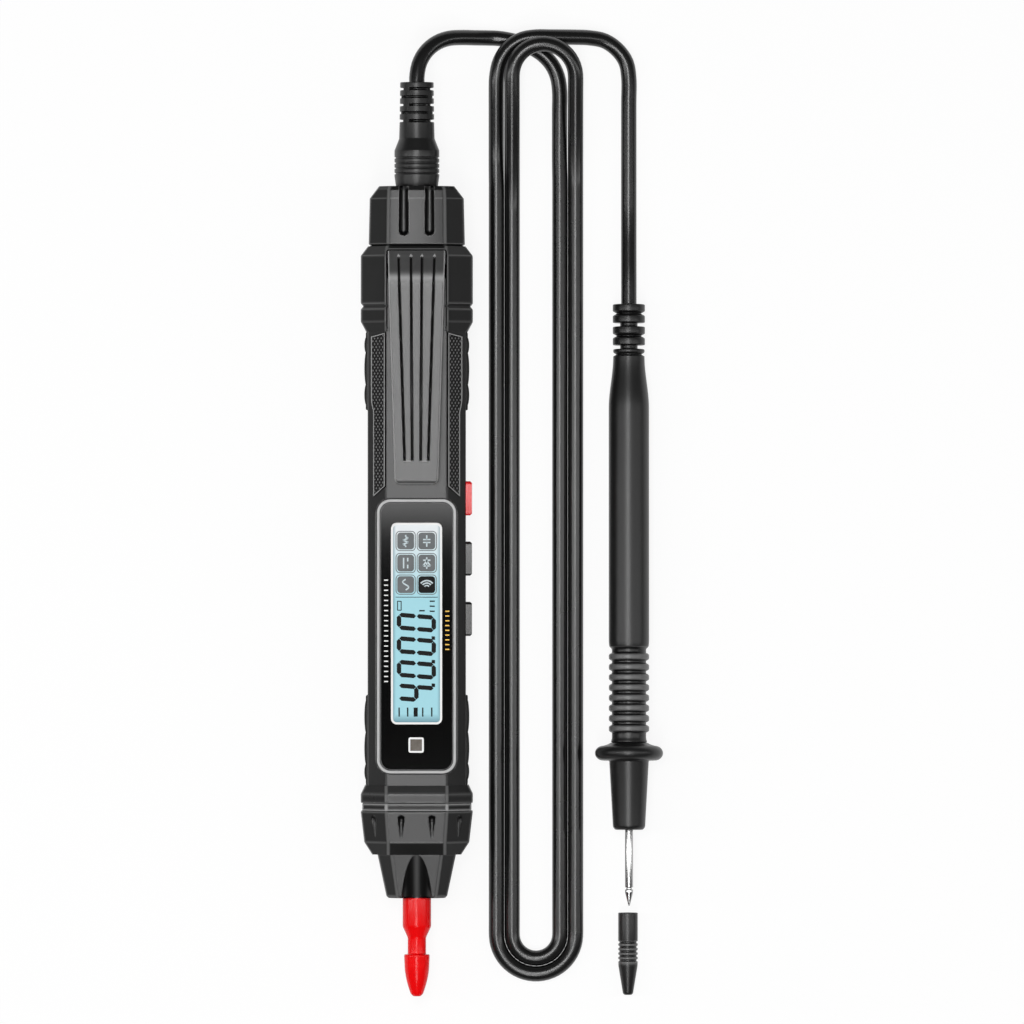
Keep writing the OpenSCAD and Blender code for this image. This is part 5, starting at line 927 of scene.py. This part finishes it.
def outline(rows, points):
    """Outlines (rows, points, 2) of eight-sided sections: corners cut back by corner x tan 22.5 and bridged by
    a quadratic curve; side, facet and front flats have that many points each."""
    w, d, f, r = (rows[:, k, None] for k in (1, 2, 3, 4))
    s = d / 2 - (w - f) / 2
    x = np.concatenate([w / 2, w / 2, f / 2, -f / 2, -w / 2, -w / 2, -f / 2, f / 2], 1)
    z = np.concatenate([-s, s, d / 2, d / 2, s, -s, -d / 2, -d / 2], 1)
    c = np.stack([x, z], -1)
    back, on = np.roll(c, 1, 1) - c, np.roll(c, -1, 1) - c
    far_back, far_on = (np.linalg.norm(way, axis=2)[..., None] for way in (back, on))
    cut = np.minimum((r * CORNER_CUT)[..., None], np.minimum(far_back, far_on) * SHORTEST_FLAT)
    start, end = c + back / far_back * cut, c + on / far_on * cut
    t = np.linspace(0, 1, CORNER_POINTS)[None, :, None]
    parts = []
    for k in range(8):
        a, b, e = start[:, k, None], c[:, k, None], end[:, k, None]
        parts.append((1 - t) ** 2 * a + 2 * t * (1 - t) * b + t**2 * e)
        u = np.linspace(0, 1, points[k % 4] + 2)[None, 1:-1, None]
        parts.append(e + (start[:, (k + 1) % 8, None] - e) * u)
    return np.concatenate(parts, 1)


def divided(rows, step):
    """Rows with more put in between wherever neighbours are further than step mm apart along the pen."""
    counts = [max(1, math.ceil(abs(b[0] - a[0]) / step)) for a, b in zip(rows, rows[1:])]
    parts = [np.linspace(a, b, n, endpoint=False) for a, b, n in zip(rows, rows[1:], counts)]
    return np.concatenate([*parts, rows[-1:]])


EDGE_ALONG, EDGE_ROUND, EDGE_TURN = 0.85, 0.7, 0.2


def edge_light_and_shade(rows, points):
    """Painted light on a loft: painted highlights on the corners of the sections and where the rows turn
    outwards, painted shade where they turn inwards, the turn being the change of slope of the width from row to row."""
    corner = np.sin(np.linspace(0, math.pi, CORNER_POINTS))
    around = np.concatenate([part for k in range(8) for part in (corner, np.zeros(points[k % 4]))])
    slope = np.unwrap(np.arctan2(np.diff(rows[:, 1]) / 2, np.diff(rows[:, 0])))
    turn = np.concatenate([[0], np.diff(slope), [0]])
    lit, deep = np.clip(-turn / EDGE_TURN, 0, 1), np.clip(turn / EDGE_TURN, 0, 1)
    return np.maximum(EDGE_ALONG * around[None, :], EDGE_ROUND * lit[:, None]) - deep[:, None]


def loft(name, source, outside, inside, ease, look, press=None, points=(4, 10, 20, 10), step=0.5, sharp=35):
    """Closed sheet over the rows outside and then inside, whose corners are eased; a row without a corner gets
    CORNER. press(x, y, z) moves the points of the outside rows, z being the height above the pen's axis, and
    gives the painted highlights and painted shade to add."""
    outside, inside = ([[*row, CORNER][:5] for row in rows] for rows in (outside, inside))
    shell = divided(eased(outside, ease, 5) / MM, step)
    rows = np.concatenate([shell, np.array(inside, float)])
    section = outline(rows, points)
    x, z = section[..., 0], section[..., 1]
    y = np.repeat(rows[:, :1], x.shape[1], 1)
    n = len(shell)
    light_and_shade = np.zeros_like(x)
    # Painted highlights on corners and outward turns, painted shade in inward turns.
    light_and_shade[:n] = edge_light_and_shade(shell, points)
    if press:
        x[:n], z[:n], more = press(x[:n], y[:n], z[:n])
        light_and_shade[:n] = np.where(abs(more) > FAINT, more, light_and_shade[:n])
    sheet = np.stack([x, y, z + AXIS_Z / MM], -1) * MM
    made = grid(name, sheet, "pen", look, loop=True, sharp=sharp, paint=np.clip(light_and_shade, -1, 1))
    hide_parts(source)
    print(name, len(made.data.polygons), "faces")


def circle_row(y, radius):
    """Row whose section is a circle."""
    return [y, 2 * radius, 2 * radius, 2 * radius * CORNER_CUT, radius * 1.01]


# %% Sizes of the lofts
def ends(source):
    """Front and rear end of a node along the pen, in mm."""
    low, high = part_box(source)
    return low.y / MM, high.y / MM


BODY_W, FACET, CORNER = 24.0, 15.0, 1.5
collar_low, collar_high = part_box("rear_collar")
COLLAR_W, COLLAR_D = (collar_high.x - collar_low.x) / MM, (collar_high.z - collar_low.z) / MM
BODY_D = COLLAR_D - 2
Y_COLLAR, Y_CAP = ends("rear_collar")
Y_END = ends("rear_cap")[1]
Y_FLANGE, Y_BODY = ends("front_collar")
Y_SEAL, Y_NOSE_COLLAR, Y_NOSE = (ends(source)[0] for source in ("seal_ring", "nose_collar", "nose_cone"))
full = [COLLAR_W, COLLAR_D, FACET]
over_body = [BODY_W + 0.2, BODY_D + 0.2, FACET]
print("collar", round(COLLAR_W, 2), "x", round(COLLAR_D, 2), "mm")


# %% Rear collar with the clip's slot
SLOT_HALF, SLOT_REAR, SLOT_FRONT, SLOT_FLOOR = CLIP_HALF + 0.35, CLIP_REAR + 0.35, CLIP_REAR - 6.8, 7.8
SLOT_CORNER, SLOT_RUN, SLOT_ZONE, SLOT_LIGHT = 0.7, 3.8, 3.2, 0.8


def clip_slot(x, y, z):
    """Press the front flat down to the slot's floor inside a rounded rectangle, its floor rising to a shallow
    channel that runs out at the front."""
    dx, dy = abs(x) - (SLOT_HALF - SLOT_CORNER), y - (SLOT_REAR - SLOT_CORNER)
    gap = SLOT_CORNER - np.hypot(np.maximum(dx, 0), np.maximum(dy, 0))
    floor = SLOT_FLOOR + (BODY_D / 2 + 0.3 - SLOT_FLOOR) * (1 - ramp(y, SLOT_FRONT, SLOT_FRONT + SLOT_RUN))
    deep = z - (z - floor) * ramp(gap, 0, 0.14)
    front = z > COLLAR_D / 2 - SLOT_ZONE
    # Painted highlight just outside the slot's edge, painted shade on its floor.
    light_and_shade = SLOT_LIGHT * (abs(gap + 0.12) < 0.16) - ramp(gap, 0.02, 0.1)
    return x, np.where(front, np.minimum(z, deep), z), light_and_shade * front


GROOVE_Y, GROOVE_W, GROOVE_SUNK = Y_COLLAR + 5.4, 1.5, 1.3
rear_bore = [19.0, 13.9, 14.0]
loft("collar_rear", "rear_collar", [
    [Y_COLLAR, BODY_W + 0.85, BODY_D + 0.5, FACET], [Y_COLLAR + 2.4, *full], [GROOVE_Y, *full],
    [GROOVE_Y + GROOVE_W / 2, COLLAR_W - GROOVE_SUNK, COLLAR_D - GROOVE_SUNK, FACET], [GROOVE_Y + GROOVE_W, *full],
    [Y_CAP - 2.3, *full], [Y_CAP, BODY_W - 0.1, BODY_D - 0.4, FACET - 0.5]],
     [[Y_CAP, *rear_bore], [Y_COLLAR + 4.5, *rear_bore], [Y_COLLAR + 4.5, *over_body], [Y_COLLAR, *over_body]],
     0.3, trim_black, clip_slot, (4, 10, 30, 10), 0.12)


# %% End cap with its flutes
FLUTE_X, FLUTE_HALF, FLUTE_START, FLUTE_DEPTH, FLUTE_TAPER, CROWN = 3.15, 1.2, Y_CAP + 2.6, 1.3, 0.012, 0.25
FLUTE_ZONE, FLUTE_LIGHT, FLUTE_RIM_LIGHT, FLUTE_SHADE = 3, 0.5, 0.6, 0.95
cap_w, cap_d, cap_f = BODY_W - 0.5, BODY_D - 0.6, FACET - 0.9


def flutes(x, y, z):
    """Two flutes in the front and back flats: half round, with a round end towards the housing. The flats are
    crowned a little by the square of the distance from their middle."""
    beyond = np.minimum(y - (FLUTE_START + FLUTE_HALF), 0)
    half = FLUTE_HALF - FLUTE_TAPER * (y - FLUTE_START)
    across = np.hypot(abs(x) - FLUTE_X, beyond) / half
    depth = FLUTE_DEPTH * np.sqrt(np.clip(1 - across**2, 0, 1))
    crown = CROWN * np.clip(abs(x) / (cap_f / 2), 0, 1) ** 2
    # Painted highlight down each flute's middle and along its rim, painted shade on its walls.
    light_and_shade = FLUTE_LIGHT * (abs(across) < 0.22) * (y > FLUTE_START + 1) + FLUTE_RIM_LIGHT * (abs(across - 1.08) < 0.09)
    light_and_shade = light_and_shade - FLUTE_SHADE * ramp(depth / FLUTE_DEPTH, 0.25, 0.6) * (across > 0.3)
    on_flats = abs(z) > FLUTE_ZONE
    return x, z - np.sign(z) * (depth + crown) * on_flats, light_and_shade * on_flats


END_CUT, END_DROP, FRONT_CUT, FRONT_DROP = 3.0, 4.6, 0.95, 1.5
rim_w, end_bore = cap_w - 0.5, [18.8, 13.6, 14.0]
loft("end_cap", "rear_cap", [
    [Y_CAP, cap_w - 0.2, cap_d - 0.2, cap_f], [Y_CAP + 0.3, cap_w - 1.4, cap_d - 1.4, cap_f],
    [Y_CAP + 0.6, cap_w, cap_d, cap_f], [Y_END - END_CUT, rim_w, cap_d - 0.4, cap_f - 0.2],
    [Y_END - FRONT_CUT, rim_w - END_DROP * (1 - FRONT_CUT / END_CUT), cap_d - 0.5, cap_f - 0.4],
    [Y_END, rim_w - END_DROP, cap_d - 0.5 - FRONT_DROP, cap_f - 1.0]],
     [circle_row(Y_END, 5.7), circle_row(Y_CAP - 4.2, 5.7), [Y_CAP - 4.2, *end_bore], [Y_CAP, *end_bore]],
     0.12, trim_black, flutes, (4, 10, 76, 10), 0.2)

# %% Front collar and seal
front_bore, flange = [21.2, 18.2, 13.8], [COLLAR_W - 0.3, COLLAR_D - 0.3, FACET]
loft("collar_front", "front_collar",
     [[Y_FLANGE, *flange], [Y_FLANGE + 0.15, *full], [Y_BODY - 2.15, *full],
      [Y_BODY, BODY_W + 1.36, BODY_D + 1, FACET]],
     [[Y_BODY, *over_body], [Y_BODY - 3.5, *over_body], [Y_BODY - 3.5, *front_bore], [Y_FLANGE, *front_bore]],
     0.28, trim_black)
seal, seal_end = [COLLAR_W - 0.7, COLLAR_D - 0.7, FACET], [COLLAR_W - 0.7 - 0.8, COLLAR_D - 0.7 - 0.8, FACET]
loft("seal", "seal_ring",
     [[Y_SEAL, *seal_end], [Y_SEAL + 0.25, *seal], [Y_FLANGE - 0.25, *seal], [Y_FLANGE, *seal_end]],
     [[Y_FLANGE, *front_bore], [Y_SEAL, *front_bore]], 0.2, grip_rubber)


# %% Nose collar with its drops
DROP_HALF, DROP_LEN, DROP_X, DROP_DEPTH, DROP_SINK = 0.95, 5.4, 3.75, 1.0, 0.6
DROP_ZONE, DROP_CORE, DROP_LIGHT, DROP_SHADE = 2, 0.3, 0.55, 0.95
drop_start = Y_SEAL - 1.0
facet_middle = ((FACET + COLLAR_W) / 4 - (COLLAR_D / 2 - (COLLAR_W - FACET) / 4)) / math.sqrt(2)


def drops(x, y, z):
    """Teardrops on flats and facets: round and deep towards the seal, running out to a point at the nose."""
    run = (drop_start - y) / DROP_LEN
    half = DROP_HALF * np.clip(1 - 0.8 * run, 0.05, 1)
    beyond = np.minimum((drop_start - DROP_HALF) - y, 0)
    on_flat, on_facet = abs(x) - DROP_X, (abs(x) - abs(z)) / math.sqrt(2) - facet_middle
    flat_zone, beside = abs(x) < FACET / 2 - 0.6, abs(z) > DROP_ZONE
    across = np.hypot(np.where(flat_zone, on_flat, on_facet), beyond) / half
    bowl = np.clip(1 - across**2, 0, 1) * np.clip(1 - run, 0, 1) * beside
    depth = DROP_DEPTH * np.where(flat_zone, 1, DROP_SINK) * bowl
    inside = (across < 1) * beside * (run < 1)
    core = across < DROP_CORE
    # Painted highlight down the middle of each tail, painted shade in the rest of the bowl.
    light_and_shade = inside * (DROP_LIGHT * core * (run > 0.28) - DROP_SHADE * ~core * (1 - run))
    lean_x, lean_z = np.where(flat_zone, 0, SLOPE), np.where(flat_zone, 1, SLOPE)
    return x - np.sign(x) * depth * lean_x, z - np.sign(z) * depth * lean_z, light_and_shade


end_w, end_d = COLLAR_W - 5.6, COLLAR_D - 3.8
nose_bore, nose_hole = [21.0, 18.0, 13.8], [end_w - 2.4, end_d - 2.0, 12.6]
loft("collar_nose", "nose_collar",
     [[Y_NOSE_COLLAR, end_w, end_d, FACET - 1], [Y_NOSE_COLLAR + 3, COLLAR_W - 1.7, COLLAR_D - 1.2, FACET - 1],
      [Y_SEAL - 0.2, *full], [Y_SEAL, *flange]],
     [[Y_SEAL, *nose_bore], [Y_SEAL - 1.8, *nose_bore], [Y_SEAL - 1.8, end_w + 0.1, end_d + 0.1, 13.0],
      [Y_NOSE_COLLAR + 1.5, end_w - 0.3, end_d - 0.3, 13.0], [Y_NOSE_COLLAR + 1.5, *nose_hole],
      [Y_NOSE_COLLAR, *nose_hole]], 0.3, trim_black, drops, (4, 50, 80, 50), 0.2)

# %% Nose with its scoops
nose_w, nose_d = end_w - 2.6, end_d - 2.2
nose_end_w, nose_end_d = nose_w - 4.3, nose_d - 4.2
SCOOP_R, SCOOP_TILT, SEAT_R, SCOOP_ZONE, SCOOP_LIGHT, SCOOP_SHADE = 4.1, math.radians(24), 3.8, 2.5, 0.45, 0.9


def scoops(x, y, z):
    """Cut the front and back down to a slanted cylinder that dives towards the needle, but not into its seat."""
    axis = nose_end_d / 2 + SCOOP_R / 3 + (y - Y_NOSE + 1) * math.tan(SCOOP_TILT)
    hollow = axis - np.sqrt(np.clip(SCOOP_R**2 - x**2, 0, None)) / math.cos(SCOOP_TILT)
    seat = np.sqrt(np.clip(SEAT_R**2 - x**2, 0, None))
    hollow = np.where(abs(x) < SCOOP_R, np.maximum(hollow, seat), 99)
    cut = (abs(z) > SCOOP_ZONE) * (abs(z) > hollow)
    share = abs(x) / SCOOP_R
    # Painted highlight down the middle of each scoop, painted shade towards its sides.
    light_and_shade = cut * (SCOOP_LIGHT * np.exp(-((share / 0.16) ** 2)) - SCOOP_SHADE * ramp(share, 0.2, 0.45))
    return x, np.where(cut, np.sign(z) * hollow, z), light_and_shade


back, PIN_HOLE, NOSE_SEAT = Y_NOSE_COLLAR + 1.55, 1.05, 3.6
nose_back, nose_flange = [nose_w, nose_d, nose_w - 6.8], [nose_w + 2, nose_d + 2, nose_w - 5.8]
loft("nose", "nose_cone",
     [[Y_NOSE, nose_end_w - 1, nose_end_d - 1, nose_end_w - 5.8],
      [Y_NOSE + 0.5, nose_end_w, nose_end_d, nose_end_w - 5.3], [Y_NOSE_COLLAR, *nose_back], [back, *nose_back]],
     [[back, *nose_flange], [back + 1.75, *nose_flange], circle_row(back + 1.75, PIN_HOLE),
      circle_row(Y_NOSE + 1.65, PIN_HOLE), circle_row(Y_NOSE + 1.65, NOSE_SEAT), circle_row(Y_NOSE, NOSE_SEAT)],
     0.3, trim_black, scoops, (4, 16, 80, 16), 0.2, sharp=40)

# %% Bezel frame
bezel_low, bezel_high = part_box("display_bezel")
BEZEL_RIM, BEZEL_R, BEZEL_STEPS = 0.9, 3.6, 14


def bezel_frame():
    """Rounded rectangle carried round a small profile: outside wall, a step, the flat rim, inside wall. Also
    its paint: painted shade on the walls and on the step."""
    size = np.array([bezel_high.x - bezel_low.x, bezel_high.y - bezel_low.y]) / MM
    middle = [0, (bezel_high.y + bezel_low.y) / 2 / MM]
    high, low = bezel_high.z / MM, bezel_low.z / MM
    profile = [(0, low, -1), (0, high - 0.22, -1), (0.1, high - 0.2, -1), (0.2, high - 0.2, -1), (0.26, high - 0.04, 0),
               (0.36, high, 0), (BEZEL_RIM - 0.14, high, 0), (BEZEL_RIM - 0.03, high - 0.05, 0),
               (BEZEL_RIM, high - 0.1, -1), (BEZEL_RIM, low, -1)]
    m = 4 * BEZEL_STEPS
    rows = [np.concatenate([box_line(size - 2 * inset, BEZEL_R - inset, BEZEL_STEPS) + middle, np.full((m, 1), z)], 1)
            for inset, z, _ in profile]
    return np.array(rows) * MM, np.repeat(np.array(profile)[:, 2:], m, 1)


rim_sheet, light_and_shade = bezel_frame()
bezel = grid("bezel_frame", rim_sheet, "pen", bezel_grey, loop=True, sharp=60, paint=light_and_shade)
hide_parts("display_bezel")
print("bezel:", len(bezel.data.polygons), "faces")

# %% [markdown]
# ## Pieces that keep their solids
# The window, the screen, the lens, screws, needle and everything inside keep the frame's own meshes. They only
# need finishes: solder-green board, brass and copper, bright steel, coloured sleeves.

# %% Finishes inside
metal = {"depth": 0.002, "metal": 1.0}
inner_looks = (
    ("spring_steel", 0.5, 0.58, (0.22, 0.32), {"patch": 3, **metal},
     ("board_screws", "contact_plates", "contact_springs", "door_screw", "housing_screws")),
    ("brass", (0.6, 0.42, 0.15), (0.68, 0.48, 0.18), (0.2, 0.32), {"patch": 4, **metal}, ("jack_sleeve",)),
    ("copper", (0.72, 0.33, 0.18), (0.78, 0.38, 0.22), (0.22, 0.34), {"patch": 4, **metal},
     ("sense_plate", "needle_strap")),
    ("circuit_board", (0.008, 0.09, 0.03), (0.012, 0.13, 0.045), (0.3, 0.4),
     {"patch": 2.5, "grain": 0.6, "depth": 0.01}, ("main_board",)),
    ("dark_resin", (0.01, 0.01, 0.011), (0.016, 0.016, 0.017), (0.4, 0.5), {"depth": 0.008},
     ("push_switches", "buzzer", "jack_housing")),
    ("milky_plastic", (0.72, 0.72, 0.69), (0.8, 0.8, 0.77), (0.35, 0.45), {"depth": 0.004}, ("lcd_holder",)),
    ("fuse_ceramic", (0.68, 0.64, 0.52), (0.76, 0.72, 0.6), (0.3, 0.4), {"depth": 0.004}, ("input_fuse",)),
    ("cell_sleeve", (0.03, 0.045, 0.14), (0.04, 0.06, 0.18), (0.2, 0.3), {"patch": 20, "depth": 0.003},
     ("battery_cells",)),
    ("wire_red", (0.5, 0.012, 0.01), (0.58, 0.018, 0.015), (0.3, 0.4), {"depth": 0.004}, ("jack_wire",)))
kept = [(gloss_black, ("display_panel",)), (screen_face, ("lcd_glass",)), (lens_brown, ("sensor_lens",)),
        (bright_steel, ("needle", "plug_pin"))]
kept += [(finish(name, low, high, rough, **more), sources) for name, low, high, rough, more, sources in inner_looks]
for look, sources in kept:
    for source in sources:
        for place in NODES[source].material_slots:
            place.material = look
print("kept solids:", sum(len(sources) for _, sources in kept))

# %% [markdown]
# ## Lamps, world and floor
# Soft studio light: three lamps overhead, above the pen's rear, front and nose, a long one on each side for the
# light lines along the edges, and a faint white sky. The floor is pale, and to the camera and to shiny and clear
# surfaces it also glows a plain white; it still takes the object's shadow.


# %% Lamps
def lamp(name, place, aim, size, watts):
    """Rectangular area lamp at place, turned towards aim."""
    made = bpy.data.objects.new(name, bpy.data.lights.new(name, "AREA"))
    bpy.context.scene.collection.objects.link(made)
    made.data.shape, (made.data.size, made.data.size_y), made.data.energy = "RECTANGLE", size, watts
    made.location = place
    away = made.location - type(made.location)(aim)
    made.rotation_euler = away.to_track_quat("Z", "Y").to_euler()


LAMP_Z, STRIP_Z, STRIP = 1.2, 0.72, (0.1, 1.2)
middle = (*view_centre, 0)
for name, place, aim, size, watts in (
        ("overhead_rear", (-0.06, 0.148, LAMP_Z), (-0.06, 0.148, 0), (0.3, 0.26), 3.7),
        ("overhead_front", (-0.06, -0.21, LAMP_Z), (-0.06, -0.21, 0), (0.3, 0.24), 2.7),
        ("overhead_nose", (-0.05, -0.6, LAMP_Z), (-0.05, -0.1, 0), (0.3, 0.3), 2.9),
        ("left_strip", (-0.62, 0.0, STRIP_Z), middle, STRIP, 2.9),
        ("right_strip", (0.66, 0.0, STRIP_Z), middle, STRIP, 2.0)):
    lamp(name, place, aim, size, watts)
print("lamps:", len(bpy.data.lights))


# %% World and floor
SKY_STRENGTH, TABLE_TONE, GLOW_SHARE, TABLE_HALF = 0.12, 0.94, 0.88, 3


def seen_directly(tree):
    """1 for rays from the camera and for glossy and transmission rays, 0 for the light that falls on things."""
    path = node(tree, "LightPath").outputs
    shown = node(tree, "Math", path["Is Camera Ray"], path["Is Glossy Ray"], operation="ADD")
    total = node(tree, "Math", shown.outputs[0], path["Is Transmission Ray"], operation="ADD", use_clamp=True)
    return total.outputs[0]


sky = bpy.data.worlds.new("studio")
bpy.context.scene.world = sky
sky.use_nodes = True
light = sky.node_tree.nodes["Background"]
light.inputs["Color"].default_value, light.inputs["Strength"].default_value = (1, 1, 1, 1), SKY_STRENGTH

table = bpy.data.materials.new("pale_table")
table.use_nodes = True
tree = table.node_tree
tree.nodes.remove(tree.nodes["Principled BSDF"])
matt = node(tree, "BsdfDiffuse", Color=(TABLE_TONE, TABLE_TONE, TABLE_TONE, 1))
glow = node(tree, "Emission", Color=(1, 1, 1, 1), Strength=1.0)
share = node(tree, "Math", seen_directly(tree), operation="MULTIPLY")
share.inputs[1].default_value = GLOW_SHARE
blend = node(tree, "MixShader", share.outputs[0], matt.outputs[0], glow.outputs[0])
link(tree, blend.outputs[0], tree.nodes["Material Output"].inputs["Surface"])
ground = bpy.data.meshes.new("floor")
corners = [(x * TABLE_HALF, y * TABLE_HALF, 0) for x, y in ((-1, -1), (1, -1), (1, 1), (-1, 1))]
ground.from_pydata(corners, [], [(0, 1, 2, 3)])
ground.materials.append(table)
floor = bpy.data.objects.new("floor", ground)
bpy.context.scene.collection.objects.link(floor)
print("world and floor ready")

# %% [markdown]
# ## End of the scene
# All pieces of the pen, the lead, the probe and the plug are built.

print("scene ready")
